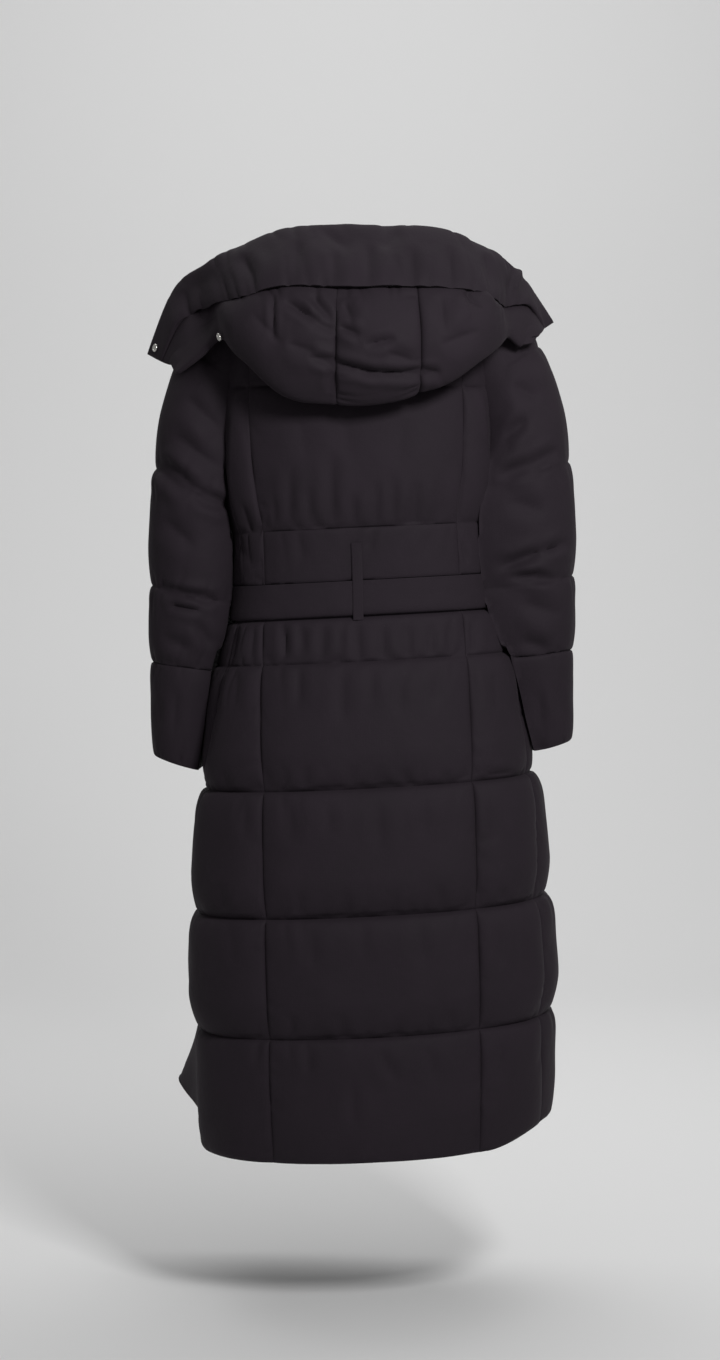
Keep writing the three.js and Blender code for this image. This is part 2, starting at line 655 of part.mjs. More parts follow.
// Moves a point out until its height over a form is at least the clearance
function liftedOff(point, height, clearance) {
  const moved = point.clone();
  const step = 1;
  for (let round = 0; round < 6; round += 1) {
    const here = height(moved);
    if (here >= clearance) return moved;
    const slope = new THREE.Vector3();
    for (const axis of ["x", "y", "z"]) {
      const ahead = moved.clone();
      ahead[axis] += step;
      slope[axis] = (height(ahead) - here) / step;
    }
    const length = Math.max(slope.length(), 0.2);
    moved.addScaledVector(slope.normalize(), (clearance - here) / length);
  }
  return moved;
}

function sleeveRows(first, last) {
  const rows = [];
  let start = first === 0 ? 0 : SLEEVE_BAFFLES[first - 1].end;
  for (const baffle of SLEEVE_BAFFLES.slice(first, last)) {
    const every = baffle.rows / baffle.plain_rows;
    crowdedSteps(baffle.rows).forEach((step, i) => {
      if (i === 0 && rows.length > 0) return;
      rows.push({
        position: start + (baffle.end - start) * step,
        full: baffle.fullness * sunkenPillow(step, 0),
        inner: i === 0 || i === baffle.rows || i % Math.ceil(every) === 0,
      });
    });
    start = baffle.end;
  }
  return rows;
}

function sleeveTube(name, rows, side) {
  const outer = rows.map((row) => {
    const full = sleeveRing(row.position, side, SLEEVE_PUFF * row.full, SLEEVE_CLEARANCE);
    const middle = middleOf(full);
    return full.map((point) => {
      const inwards = middle.clone().sub(point).normalize();
      return point.addScaledVector(inwards, foldDepth(name, point));
    });
  });
  const plain = rows.filter((row) => row.inner);
  const inner = plain.map((row) => sleeveRing(row.position, side, -SHELL, SLEEVE_CLEARANCE + SHELL));
  return clothSolid(outer, inner, null, true);
}

function sleeveHollow(rows, side) {
  const plain = rows.filter((row) => row.inner);
  return filledSolid(plain.map((row) => sleeveRing(row.position, side, -SHELL, SLEEVE_CLEARANCE + SHELL)));
}

// Hood

function hoodLinePoint(station, line) {
  if (line === "neck") {
    const angle = rowBetween(HOOD_STATIONS, station, "neck") * DEGREE;
    const onNeck = bodyPoint(0, angle < 0 ? angle + 2 * Math.PI : angle, 0);
    return new THREE.Vector3(onNeck.x, onNeck.y, SEAM_GAP + 0.1);
  }
  return new THREE.Vector3(
    rowBetween(HOOD_STATIONS, station, line + "_x"),
    rowBetween(HOOD_STATIONS, station, line + "_y"),
    rowBetween(HOOD_STATIONS, station, line + "_z"),
  );
}

// A point of the hood's cloth: station runs round the neck, line runs from the neckline to the rim
function hoodPoint(station, line) {
  const last = HOOD_LINES.length - 1;
  const i = Math.min(Math.max(Math.floor(line), 0), last - 1);
  const at = (k) => hoodLinePoint(station, HOOD_LINES[Math.min(Math.max(k, 0), last)]);
  const [a, b, c, d] = [at(i - 1), at(i), at(i + 1), at(i + 2)];
  const t = line - i;
  const point = new THREE.Vector3(
    catmull(a.x, b.x, c.x, d.x, t),
    catmull(a.y, b.y, c.y, d.y, t),
    catmull(a.z, b.z, c.z, d.z, t),
  );
  const clearance = HOOD_CLEARANCE * smoothstep(0, NECK_ROLL, line);
  const cleared = liftedOff(point, heightOverBody, clearance);
  return liftedOff(liftedOff(cleared, heightOverLeftSleeve, clearance), heightOverRightSleeve, clearance);
}

const heightOverLeftSleeve = (point) => heightOverSleeve(point, 1);
const heightOverRightSleeve = (point) => heightOverSleeve(point, -1);

function hoodNormal(station, line) {
  const step = 0.03;
  if (line === 0) return hoodPoint(station, 0).setZ(0).normalize();
  const lastStation = HOOD_STATIONS.length - 1;
  const lastLine = HOOD_LINES.length - 1;
  const across = hoodPoint(Math.min(station + step, lastStation), line)
    .sub(hoodPoint(Math.max(station - step, 0), line));
  const along = hoodPoint(station, Math.min(line + step, lastLine))
    .sub(hoodPoint(station, Math.max(line - step, 0)));
  return across.cross(along).normalize();
}

// One panel of the hood between two stations and two lines, filled by fullness(station share, line)
function hoodPanel(name, startStation, endStation, startLine, endLine, linesPerSpan, fullness) {
  const columns = Math.max(Math.round((endStation - startStation) * HOOD_COLUMNS_PER_STATION), 6);
  const stations = evenSteps(columns).map((s) => startStation + (endStation - startStation) * s);
  const spans = Math.round((endLine - startLine) * linesPerSpan);
  const lines = Array.from({ length: spans + 1 }, (_, i) => startLine + (i * (endLine - startLine)) / spans);
  if (startLine === 0) lines.splice(1, 0, NECK_ROLL);
  const outer = [];
  const inner = [];
  lines.forEach((line) => {
    outer.push(stations.map((station) => {
      const share = (station - startStation) / (endStation - startStation);
      const down = fullness(share, line);
      const point = hoodPoint(station, line).addScaledVector(hoodNormal(station, line), SHELL + down);
      const fold = line > HOOD_SHOWS_FROM ? Math.min(foldDepth(name, point), down) : 0;
      return point.addScaledVector(hoodNormal(station, line), -fold);
    }));
    inner.push(stations.map((station) => hoodPoint(station, line)));
  });
  return clothSolid(outer, inner, lines.map((_, i) => i), false);
}

function evenSteps(count) {
  return Array.from({ length: count + 1 }, (_, i) => i / count);
}

// Trimmings

// The belt lies round the waist, a little further out over the placket
function beltSolid() {
  const profile = table("z thickness", [
    [BELT_TOP - BELT_EDGE, BELT_THICKNESS * BELT_EDGE_SHARE],
    [BELT_TOP - BELT_ROUNDING, BELT_THICKNESS],
    [BELT_BOTTOM + BELT_ROUNDING, BELT_THICKNESS],
    [BELT_BOTTOM + BELT_EDGE, BELT_THICKNESS * BELT_EDGE_SHARE],
  ]);
  const seat = (angle) => {
    const fromFront = Math.abs(angle > Math.PI ? angle - 1.5 * Math.PI : angle + 0.5 * Math.PI);
    const overPlacket = 1 - smoothstep(BELT_STEP_FROM, BELT_STEP_TO, fromFront);
    return BELT_SEAT + (PLACKET_EDGE + SEAM_GAP) * overPlacket;
  };
  const outer = profile.map((row) => bodyRing(row.z, (angle) => seat(angle) + row.thickness));
  const inner = [profile[0], profile[profile.length - 1]].map((row) => bodyRing(row.z, seat));
  return clothSolid(outer, inner, null, true);
}

// The loop at the centre back is sewn down over and under the belt
function loopSolid() {
  const onBand = BODY_PUFF * BAND_FULLNESS + BELT_SEAT;
  const overBelt = BELT_SEAT + BELT_THICKNESS + LOOP_SEAT;
  const path = table("z out", [
    [LOOP_TOP, onBand],
    [LOOP_LEAVES_BAND, onBand],
    [BELT_TOP + LOOP_OVERLAP, overBelt],
    [BELT_BOTTOM + LOOP_OVERLAP, overBelt],
    [BELT_BOTTOM - LOOP_OVERLAP, overBelt - LOOP_SEAT / 2],
  ]);
  const angleAt = (z, x) => {
    const section = bodySection(z);
    return Math.acos(Math.sign(x) * Math.pow(Math.abs(x) / section.half, section.round / 2));
  };
  const across = evenSteps(2).map((share) => LOOP_CENTRE + LOOP_WIDTH * (share - 0.5));
  const skin = (extra) => path.map((row) => {
    return across.map((x) => bodyPoint(row.z, angleAt(row.z, x), row.out + extra));
  });
  return clothSolid(skin(LOOP_THICKNESS), skin(0), path.map((_, i) => i), false);
}

// The placket covers the closing of the two fronts from the neckline to the hem
function placketSolid(bodyRowList) {
  const shares = crowdedSteps(4);
  const skin = (thickness) => bodyRowList.map((row) => shares.map((share) => {
    const angle = 270 * DEGREE + (PLACKET_WIDTH * (share - 0.5)) / arcSpeed(row.z, 270 * DEGREE);
    return bodyPoint(row.z, angle, SEAM_GAP + 0.1 + thickness(row, share));
  }));
  const outer = skin((row, share) => PLACKET_EDGE + PLACKET_PUFF * Math.min(row.full, 1) * pillow(share));
  return clothSolid(outer, skin(() => 0), bodyRowList.map((_, i) => i), false);
}

// A snap lies on the hood at a station and a line, over the down there
function snapOnHood(name, station, line, down, material) {
  const normal = hoodNormal(station, line);
  const radius = SNAP_DIAMETER / 2;
  const geometry = new THREE.CylinderGeometry(radius - SNAP_BEVEL, radius, SNAP_THICKNESS, SNAP_FACES);
  const snap = new THREE.Mesh(geometry, material);
  snap.name = name;
  snap.position.copy(hoodPoint(station, line));
  snap.position.addScaledVector(normal, SHELL + down + SNAP_THICKNESS / 2 + SNAP_SEAT);
  snap.quaternion.setFromUnitVectors(new THREE.Vector3(0, 1, 0), normal);
  return snap;
}

// Assembly

const cloth = () => new THREE.MeshStandardMaterial({ color: CLOTH, roughness: 0.85, metalness: 0 });
const group = new THREE.Group();

const rows = bodyRows();
const bodyFill = filledBody(rows, SEAM_GAP);
const sides = { left: 1, right: -1 };

const sleeveUpperRows = sleeveRows(0, CUFF_BAFFLE);
const hollows = Object.values(sides).map((side) => sleeveHollow(sleeveUpperRows, side));

for (const panel of BODY_PANELS) {
  const parts = panel.name === "back_centre"
    ? [["back_centre_top", rows.filter((row) => row.z >= WAIST_SEAM)],
      ["back_centre_skirt", rows.filter((row) => row.z <= WAIST_SEAM)]]
    : [[panel.name, rows]];
  for (const [name, partRows] of parts) {
    const cutRows = partRows.map((row) => ({ ...row }));
    if (name === "back_centre_top") cutRows[cutRows.length - 1].z += SEAM_GAP / 2;
    if (name === "back_centre_skirt") cutRows[0].z -= SEAM_GAP / 2;
    const grid = bodyGrid(name, panel.start, panel.end, panel.columns, cutRows, 0);
    let piece = clothSolid(grid.outer, grid.inner, grid.innerRows, false);
    for (const hollow of hollows) piece = piece.subtract(hollow);
    group.add(meshOf(name, piece, cloth()));
  }
}

for (const [sideName, side] of Object.entries(sides)) {
  const upper = sleeveTube("sleeve_" + sideName, sleeveUpperRows, side).subtract(bodyFill);
  group.add(meshOf("sleeve_" + sideName, upper, cloth()));
  const cuffRows = sleeveRows(CUFF_BAFFLE, SLEEVE_BAFFLES.length);
  cuffRows[0].position += CUFF_GAP;
  group.add(meshOf("cuff_" + sideName, sleeveTube("cuff_" + sideName, cuffRows, side), cloth()));
}

const lastStation = HOOD_STATIONS.length - 1;
const bagFullness = (share, line) => {
  const hidden = line <= HOOD_SHOWS_FROM;
  const layer = hidden ? LINING_PUFF : HOOD_PUFF;
  const from = hidden ? 0 : HOOD_SHOWS_FROM;
  const to = hidden ? HOOD_SHOWS_FROM : HOOD_BAG_LINE;
  return layer * pillow(share) * pillow((line - from) / (to - from));
};
const crown = [
  ["hood_side_left", 0, CROWN_SEAM_LEFT - STATION_GAP],
  ["hood_centre", CROWN_SEAM_LEFT + STATION_GAP, CROWN_SEAM_RIGHT - STATION_GAP],
  ["hood_side_right", CROWN_SEAM_RIGHT + STATION_GAP, lastStation],
];
for (const [name, start, end] of crown) {
  const panel = hoodPanel(name, start, end, 0, HOOD_BAG_LINE - LINE_GAP, 3, bagFullness);
  group.add(meshOf(name, panel, cloth()));
}
const brimFullness = (share, line) => {
  const onWing = WING_FULLNESS + (1 - WING_FULLNESS) * Math.sin(Math.PI * share);
  return BRIM_PUFF * onWing * pillow(line - HOOD_BAG_LINE) * Math.min(pillow(share) * BRIM_END_FILLS, 1);
};
const brimStart = HOOD_BAG_LINE + LINE_GAP;
const brim = hoodPanel("hood_brim", 0, lastStation, brimStart, HOOD_LINES.length - 1, 4, brimFullness);
group.add(meshOf("hood_brim", brim, cloth()));

const snapMaterial = new THREE.MeshStandardMaterial({ color: SILVER, roughness: 0.3, metalness: 1 });
group.add(meshOf("belt", beltSolid(), cloth()));
group.add(meshOf("belt_loop", loopSolid(), cloth()));
group.add(meshOf("placket", placketSolid(rows), cloth()));
const wingDown = brimFullness(WING_SNAP_STATION / lastStation, WING_SNAP_LINE);
const crownDown = bagFullness(CROWN_SNAP_STATION / (CROWN_SEAM_LEFT - STATION_GAP), CROWN_SNAP_LINE);
group.add(snapOnHood("snap_wing", WING_SNAP_STATION, WING_SNAP_LINE, wingDown, snapMaterial));
group.add(snapOnHood("snap_crown", CROWN_SNAP_STATION, CROWN_SNAP_LINE, crownDown, snapMaterial));

export default group;
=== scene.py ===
# %% [markdown]
# # A long hooded puffer coat, worn, seen from behind
# A puffer coat is two layers of thin tightly woven cloth with down between them. The seams hold the
# layers together, and the down lifts them everywhere else, so each piece is a cushion that is thin at
# its seams and full in its middle. This lesson builds every sewn piece as such a cushion, gives it the
# puckers that a seam draws into full cloth, and lays in the largest folds from lists.

# %% Load the frame
import json
import math

import bmesh
import bpy
import numpy as np
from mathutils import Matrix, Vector

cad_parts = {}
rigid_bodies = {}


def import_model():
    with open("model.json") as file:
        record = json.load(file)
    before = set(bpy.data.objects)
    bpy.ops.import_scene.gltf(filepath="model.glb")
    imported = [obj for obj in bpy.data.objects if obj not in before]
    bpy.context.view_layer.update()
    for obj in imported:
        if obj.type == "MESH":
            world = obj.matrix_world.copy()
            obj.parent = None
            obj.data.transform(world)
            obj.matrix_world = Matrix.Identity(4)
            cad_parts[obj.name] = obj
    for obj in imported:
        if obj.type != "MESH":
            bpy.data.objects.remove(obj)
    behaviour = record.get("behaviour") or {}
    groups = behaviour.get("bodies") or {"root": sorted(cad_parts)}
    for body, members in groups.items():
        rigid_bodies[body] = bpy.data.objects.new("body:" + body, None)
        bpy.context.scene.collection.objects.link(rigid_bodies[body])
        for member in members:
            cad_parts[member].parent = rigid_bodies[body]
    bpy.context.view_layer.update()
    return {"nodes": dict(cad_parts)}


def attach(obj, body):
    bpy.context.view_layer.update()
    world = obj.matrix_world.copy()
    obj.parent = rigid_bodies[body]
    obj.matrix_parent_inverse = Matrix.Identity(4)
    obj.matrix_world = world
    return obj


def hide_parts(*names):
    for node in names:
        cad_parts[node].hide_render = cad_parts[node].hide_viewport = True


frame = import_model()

print("solid parts to dress:", len(frame["nodes"]))

# %% [markdown]
# The solid model was cut from tables of sizes, in millimetres, and the cloth here follows the same
# tables, so each cushion lies where its solid does. Z is up, X is the wearer's left and Y points out of
# the back. The origin is the middle of the neckline.

# %% Sizes of the coat
SHELL = 3.0              # the plain inside of a piece lies this far in
SEAM_GAP = 0.3           # clear gap between two pieces at a seam
BODY_PUFF = 13.0
SLEEVE_PUFF = 7.0
BAND_FULLNESS = 0.45     # the band above the belt is flatter than the baffles
SEAM_FULLNESS = 0.48     # share of the down that stays at the seams that run down the body
FULL_SIDE_SEAM = 0.5     # the left side seam lies in the outline, and the down hides it
SUNK_RISE = 0.2          # a baffle is full from this share of its height
SUNK_FALL = 0.62         # and turns in again from this one
FALL_POWER = 1.5
FALL_ROUND = 0.8
SAG = 9.0                # the down hangs over the seam under it by this much
SAG_MOST = 1.4           # and by up to this many times as much where a baffle is very full
SAG_RISE = 60.0          # it hangs fully from this far under the seam above
SAG_FALL = 14.0          # down to this far over the seam below
BELT_THICKNESS = 6.0
BELT_SEAT = 0.4          # clear gap under the belt
PLACKET_WIDTH = 54.0
PLACKET_MARGIN = 3.0     # the fronts stay flat this far past the placket
PLACKET_EDGE = 2.2
WAIST_SEAM = -378.0
BELT_TOP = -450.0
BELT_BOTTOM = -501.0
HEM = -1243.0
SEAM_TILT = -0.052       # the cross seams slope down to the wearer's left
TILT_STARTS = -180.0
TILT_FULL = -430.0
HEM_RISE = 0.25          # the hem is shorter in front, by this share of the way round to it
HEM_RISE_FROM = 30.0
HEM_RISE_STARTS = -1074.0
HEM_KICK = 20.0          # the hem kicks up at the right side
HEM_KICK_SIDE = (-170.0, -262.0)
SWING_LEFT = 88.0        # the left front swings out to the side and forwards at the hem
SWING_FORWARD = 84.0
SWING_STARTS = -920.0
SWING_ANGLE = -36.0
SWING_SIDE_SPREAD = 16.0
SWING_FRONT_SPREAD = 34.0
SWING_POWER = 1.4


def table(columns, rows):
    values = np.array(rows, float)
    return {name: values[:, i] for i, name in enumerate(columns.split())}


BODY = table("z centre half back front round princess side_left side_right", [
    [0, 2, 82, 68, 62, 2.0, 50, 4, 4],
    [-14, 4, 122, 80, 72, 2.1, 74, 4, 4],
    [-32, 6, 162, 92, 84, 2.2, 104, 4, 4],
    [-58, 8, 193, 104, 95, 2.3, 128, 6, 6],
    [-95, 9, 203, 112, 108, 2.4, 140, 12, 12],
    [-185, 9, 202, 121, 127, 2.5, 146, 20, 20],
    [-267, 7, 197, 122, 133, 2.5, 144, 22, 22],
    [-330, 5, 187, 119, 130, 2.5, 138, 22, 22],
    [WAIST_SEAM, 3, 179, 115, 126, 2.4, 133, 22, 22],
    [BELT_TOP, 0, 178, 112, 122, 2.4, 134, 22, 20],
    [BELT_BOTTOM, -1, 184, 113, 122, 2.4, 136, 22, 18],
    [-562, -3, 202, 124, 130, 2.3, 139, 23, 16],
    [-650, -5, 214, 139, 142, 2.3, 141, 16, 14],
    [-735, -8, 228, 152, 155, 2.3, 142, 6, 16],
    [-909, -12, 244, 166, 170, 2.3, 143, 5, 23],
    [-1000, -15, 249, 171, 176, 2.3, 143, 5, 24],
    [-1074, -17, 247, 175, 180, 2.3, 143, 5, 24],
    [HEM, -20, 243, 180, 185, 2.2, 140, 6, 22],
])

# kept_above and kept_below are how full a baffle still is at its own seams, gathers_* how deep they pucker it
BODY_BAFFLES = table("bottom fullness kept_above kept_below gathers_above gathers_below", [
    [-58, 0.12, 0, 0.06, 0.0, 0.0],
    [-185, 0.7, 0.06, 0.2, 0.3, 0.5],
    [WAIST_SEAM, 0.85, 0.2, 0.34, 0.4, 1.0],
    [BELT_TOP, BAND_FULLNESS, 0.34, 0.42, 0.5, 0.15],
    [BELT_BOTTOM, 0, 0, 0, 0.0, 0.0],
    [-562, 0.75, 0, 0.42, 0.7, 0.7],
    [-735, 1.4, 0.4, 0.1, 0.7, 0.8],
    [-909, 1.5, 0.2, 0.1, 0.6, 0.8],
    [-1074, 1.4, 0.2, 0.1, 0.6, 0.8],
    [HEM, 1.0, 0.2, 0.55, 0.6, 0.5],
])
print("sections of the body:", len(BODY["z"]), "baffles:", len(BODY_BAFFLES["bottom"]))


# %% [markdown]
# Between the rows of a table the sizes change smoothly. The body uses a curve that never overshoots its
# rows, because a waist that swelled between two rows would show as a false fold. The sleeves and the hood
# use a rounder curve through their rows.

# %% Smooth values between rows
def smoothstep(start, end, value):
    share = np.clip((value - start) / (end - start), 0, 1)
    return share * share * (3 - 2 * share)


def hermite(t, a, b, slope_a, slope_b):
    """A curve from a to b with a given slope at each end; t goes from 0 to 1."""
    t2, t3 = t * t, t * t * t
    ends = (2 * t3 - 3 * t2 + 1) * a + (3 * t2 - 2 * t3) * b
    return ends + (t3 - 2 * t2 + t) * slope_a + (t3 - t2) * slope_b


def tangents(name):
    """Slopes at the rows of BODY that keep its curves from overshooting."""
    run = np.diff(BODY["z"])
    rate = np.diff(BODY[name]) / run
    before, after = rate[:-1], rate[1:]
    both = np.where(before * after > 0, before * after, 0)
    total = before + after
    inner = np.where(both > 0, 2 * both / np.where(total == 0, 1, total), 0)
    return np.concatenate([rate[:1], inner, rate[-1:]])


BODY_TANGENTS = {name: tangents(name) for name in BODY}


def body_section(z):
    z = np.clip(z, HEM, 0)
    i = np.clip(np.searchsorted(-BODY["z"], -z, side="right") - 1, 0, len(BODY["z"]) - 2)
    span = BODY["z"][i + 1] - BODY["z"][i]
    t = (z - BODY["z"][i]) / span
    return {
        name: hermite(t, BODY[name][i], BODY[name][i + 1],
                      BODY_TANGENTS[name][i] * span, BODY_TANGENTS[name][i + 1] * span)
        for name in BODY
    }


def row_between(rows, position, name):
    """A column's value at a position between rows, such as 2.5, on a round curve."""
    column = rows[name]
    last = len(column) - 1
    i = np.clip(np.floor(position).astype(int), 0, last - 1)
    at = lambda k: column[np.clip(k, 0, last)]
    slope_in = (at(i + 1) - at(i - 1)) / 2
    slope_out = (at(i + 2) - at(i)) / 2
    return hermite(position - i, at(i), at(i + 1), slope_in, slope_out)


print("half width at the belt:", round(float(body_section(np.array(BELT_TOP))["half"]), 1), "mm")


# %% Points on the body
SHOULDER_LEAN_STARTS = -95.0
SHOULDER_LEAN_FULL = -14.0
SHOULDER_LEVEL_LOSS = 0.55   # on the shoulders the down stands up more than out
SHOULDER_RISE = 0.8


def signed_power(value, power):
    return np.sign(value) * np.abs(value) ** power


def front_swing(z, angle):
    """How much of the left front's swing a point takes, from 0 to 1."""
    low = np.clip((SWING_STARTS - z) / (SWING_STARTS - HEM), 0, 1)
    degrees = np.degrees(angle)
    degrees = np.where(degrees > 180, degrees - 360, degrees)
    spread = np.where(degrees > SWING_ANGLE, SWING_SIDE_SPREAD, SWING_FRONT_SPREAD)
    return low ** SWING_POWER * np.exp(-((degrees - SWING_ANGLE) / spread) ** 2)


def body_point(z, angle, out):
    """Points on the body at nominal heights and angles, moved out by some distance."""
    section = body_section(z)
    cos, sin = np.cos(angle), np.sin(angle)
    depth = np.where(sin > 0, section["back"], section["front"])
    x = section["half"] * signed_power(cos, 2 / section["round"])
    y = depth * signed_power(sin, 2 / section["round"])
    nx = signed_power(x / section["half"], section["round"] - 1) / section["half"]
    ny = signed_power(y / depth, section["round"] - 1) / depth
    length = np.maximum(np.hypot(nx, ny), 1e-9)
    up = smoothstep(SHOULDER_LEAN_STARTS, SHOULDER_LEAN_FULL, section["z"])
    level = 1 - SHOULDER_LEVEL_LOSS * up
    swing = front_swing(z, angle)
    px = section["centre"] + x + nx / length * level * out + SWING_LEFT * swing
    py = y + ny / length * level * out - SWING_FORWARD * swing
    tilt = SEAM_TILT * smoothstep(TILT_STARTS, TILT_FULL, z) * px
    below = np.clip((HEM_RISE_STARTS - z) / (HEM_RISE_STARTS - HEM), 0, 1)
    rise = (HEM_RISE * np.maximum(HEM_RISE_FROM - py, 0) + HEM_KICK * smoothstep(*HEM_KICK_SIDE, px)) * below
    return np.stack([px, py, z + tilt + rise + SHOULDER_RISE * up * out], -1)


def arc_speed(z, angle):
    """Millimetres round the body for one radian of nominal angle."""
    step = 0.01
    ends = body_point(z, angle + step, 0), body_point(z, angle - step, 0)
    return np.linalg.norm(ends[0] - ends[1], axis=-1) / (2 * step)


waist_back = body_point(np.array(WAIST_SEAM), np.array(np.pi / 2), 0)
print("the back of the waist seam:", waist_back.round(1))


# %% Seams that run down the body
SEAM_ANGLES = {
    "left_princess": lambda s: np.arccos((s["princess"] / s["half"]) ** (s["round"] / 2)),
    "right_princess": lambda s: np.pi - np.arccos((s["princess"] / s["half"]) ** (s["round"] / 2)),
    "left_side": lambda s: np.radians(s["side_left"]),
    "right_side": lambda s: np.pi - np.radians(s["side_right"]),
    "front_from_left": lambda s: np.full_like(s["z"], -np.pi / 2),
    "front_from_right": lambda s: np.full_like(s["z"], 1.5 * np.pi),
}
print("seams down the body:", ", ".join(SEAM_ANGLES))

# %% [markdown]
# Real cloth is never even. One smooth wandering value, the same on every run, is used everywhere: for
# the long soft waves of the down, and for the pleats that a seam draws into the cloth. A pleat is a sharp
# little valley that leaves the seam at a right angle and dies out, so it is made where the wandering
# value crosses nothing.

# %% Waves and pleats
LATTICE = 64             # random values each way, after which they repeat
PLEAT_BEND = 0.35        # a pleat wanders sideways by this share of the spacing
PLEAT_SHARPNESS = 4
PLEAT_LENGTH = 0.75      # of the reach, give or take the next value
PLEAT_UNEVEN = 0.6
PLEAT_GROUP = 1.7        # pleats of one length stand together over this many spacings
PLEAT_START = 5.0        # a pleat reaches its depth this far from the seam
PILLOW_FLAT = 3
PILLOW_ROUND = 0.6


def wander(u, v, seed):
    """A smooth value from -1 to 1 that changes over distances of about 1."""
    lattice = np.random.default_rng(seed).uniform(-1, 1, (LATTICE, LATTICE))
    i, j = np.floor(u).astype(int), np.floor(v).astype(int)
    fu, fv = smoothstep(0, 1, u - i), smoothstep(0, 1, v - j)
    at = lambda a, b: lattice[a % LATTICE, b % LATTICE]
    near = at(i, j) * (1 - fu) + at(i + 1, j) * fu
    far = at(i, j + 1) * (1 - fu) + at(i + 1, j + 1) * fu
    return near * (1 - fv) + far * fv


def pleats(along, away, spacing, reach, seed):
    """Valleys of up to 1 deep that leave a seam: along runs with it and away is the distance from it."""
    bend = PLEAT_BEND * wander(along / (2 * spacing), away / reach, seed + 1)
    wave = wander(along / spacing + bend, away / (4 * reach), seed)
    valley = (1 - np.abs(wave)) ** PLEAT_SHARPNESS
    group = wander(along / (PLEAT_GROUP * spacing), np.zeros_like(away), seed + 2)
    fade = np.exp(-(away / (reach * (PLEAT_LENGTH + PLEAT_UNEVEN * group))) ** 2)
    return -valley * fade * smoothstep(0, PLEAT_START, away)


def pillow(share):
    """Fullness from one seam to the other: nothing at both, and flat on top."""
    return np.maximum(1 - np.abs(2 * share - 1) ** PILLOW_FLAT, 0) ** PILLOW_ROUND


def sunken_pillow(share, fullness, kept_above, kept_below):
    """The down sinks, so a baffle is full soon under its top seam and turns in slowly above the next."""
    rise = np.minimum(share / SUNK_RISE, 1)
    fall = np.maximum((share - SUNK_FALL) / (1 - SUNK_FALL), 0)
    over = kept_above + (fullness - kept_above) * np.sqrt(1 - (1 - rise) ** 2)
    under = kept_below + (fullness - kept_below) * (1 - fall ** FALL_POWER) ** FALL_ROUND
    return np.minimum(over, under)


def across_panel(share, kept_at_start, kept_at_end):
    """Fullness across a panel, with the share that stays at each of its two seams."""
    kept = np.where(share < 0.5, kept_at_start, kept_at_end)
    return kept + (1 - kept) * pillow(share)


trial = pleats(np.linspace(0, 300, 900), np.full(900, 6.0), 20, 25, 1)
print("a pleat at its deepest:", round(float(trial.min()), 2))


# %% [markdown]
# Every padded piece starts as a flat grid of small squares. Extruding the grid gives it a second layer
# and the walls between them, so it is closed from the start. Then each layer is laid on its own surface:
# the upper one on the full outside, the lower one on the plain inside. A sleeve is the same grid with its
# two long edges brought together and merged.

# %% A cushion from a grid
MM = 0.001
MERGE = 1e-6             # points closer than this, in metres, are one
WALL_EDGE = 62.0         # degrees between two faces that meet in a sharp edge
CELL = 4.6               # side of a grid's squares
CROWDING = 0.4           # how much they crowd towards the seams, where the down rounds off


def new_grid(rows, columns):
    """A flat grid of squares, one unit wide and long."""
    bm = bmesh.new()
    bmesh.ops.create_grid(bm, x_segments=columns, y_segments=rows, size=0.5)
    return bm


def place_in_grid(x, y, rows, columns):
    """The row and the column of a point in such a grid, with the first row at its top."""
    return np.rint((0.5 - y) * rows).astype(int), np.rint((x + 0.5) * columns).astype(int)


def object_from(bm, name, smooth=True):
    """Makes a bmesh an object in the scene."""
    mesh = bpy.data.meshes.new(name)
    bm.to_mesh(mesh)
    bm.free()
    mesh.polygons.foreach_set("use_smooth", np.full(len(mesh.polygons), smooth))
    obj = bpy.data.objects.new(name, mesh)
    bpy.context.scene.collection.objects.link(obj)
    return obj


def cushion(name, outer, inner, ring=False):
    """outer and inner are rows of columns of points in millimetres."""
    rows, columns = outer.shape[0] - 1, outer.shape[1] - 1
    bm = new_grid(rows, columns)
    made = bmesh.ops.extrude_face_region(bm, geom=bm.faces[:], use_keep_orig=True)
    upper = [item for item in made["geom"] if isinstance(item, bmesh.types.BMVert)]
    bmesh.ops.translate(bm, verts=upper, vec=(0, 0, 1))
    if ring:
        past_last_column = 0.5 - 0.1 / columns
        walls = [face for face in bm.faces if abs(face.calc_center_median().x) > past_last_column]
        bmesh.ops.delete(bm, geom=walls, context="FACES_ONLY")
    obj = object_from(bm, name)
    mesh = obj.data
    flat = np.empty(len(mesh.vertices) * 3)
    mesh.vertices.foreach_get("co", flat)
    x, y, layer = flat.reshape(-1, 3).T
    row, column = place_in_grid(x, y, rows, columns)
    points = np.where(layer[:, None] > 0.5, outer[row, column], inner[row, column]) * MM
    mesh.vertices.foreach_set("co", points.ravel())
    lay_out(mesh, outer * MM, row, column)
    bm = bmesh.new()
    bm.from_mesh(mesh)
    if ring:
        bmesh.ops.remove_doubles(bm, verts=bm.verts[:], dist=MERGE)
    bmesh.ops.recalc_face_normals(bm, faces=bm.faces[:])
    bm.to_mesh(mesh)
    bm.free()
    mesh.set_sharp_from_angle(angle=math.radians(WALL_EDGE))
    mesh.update()
    return obj


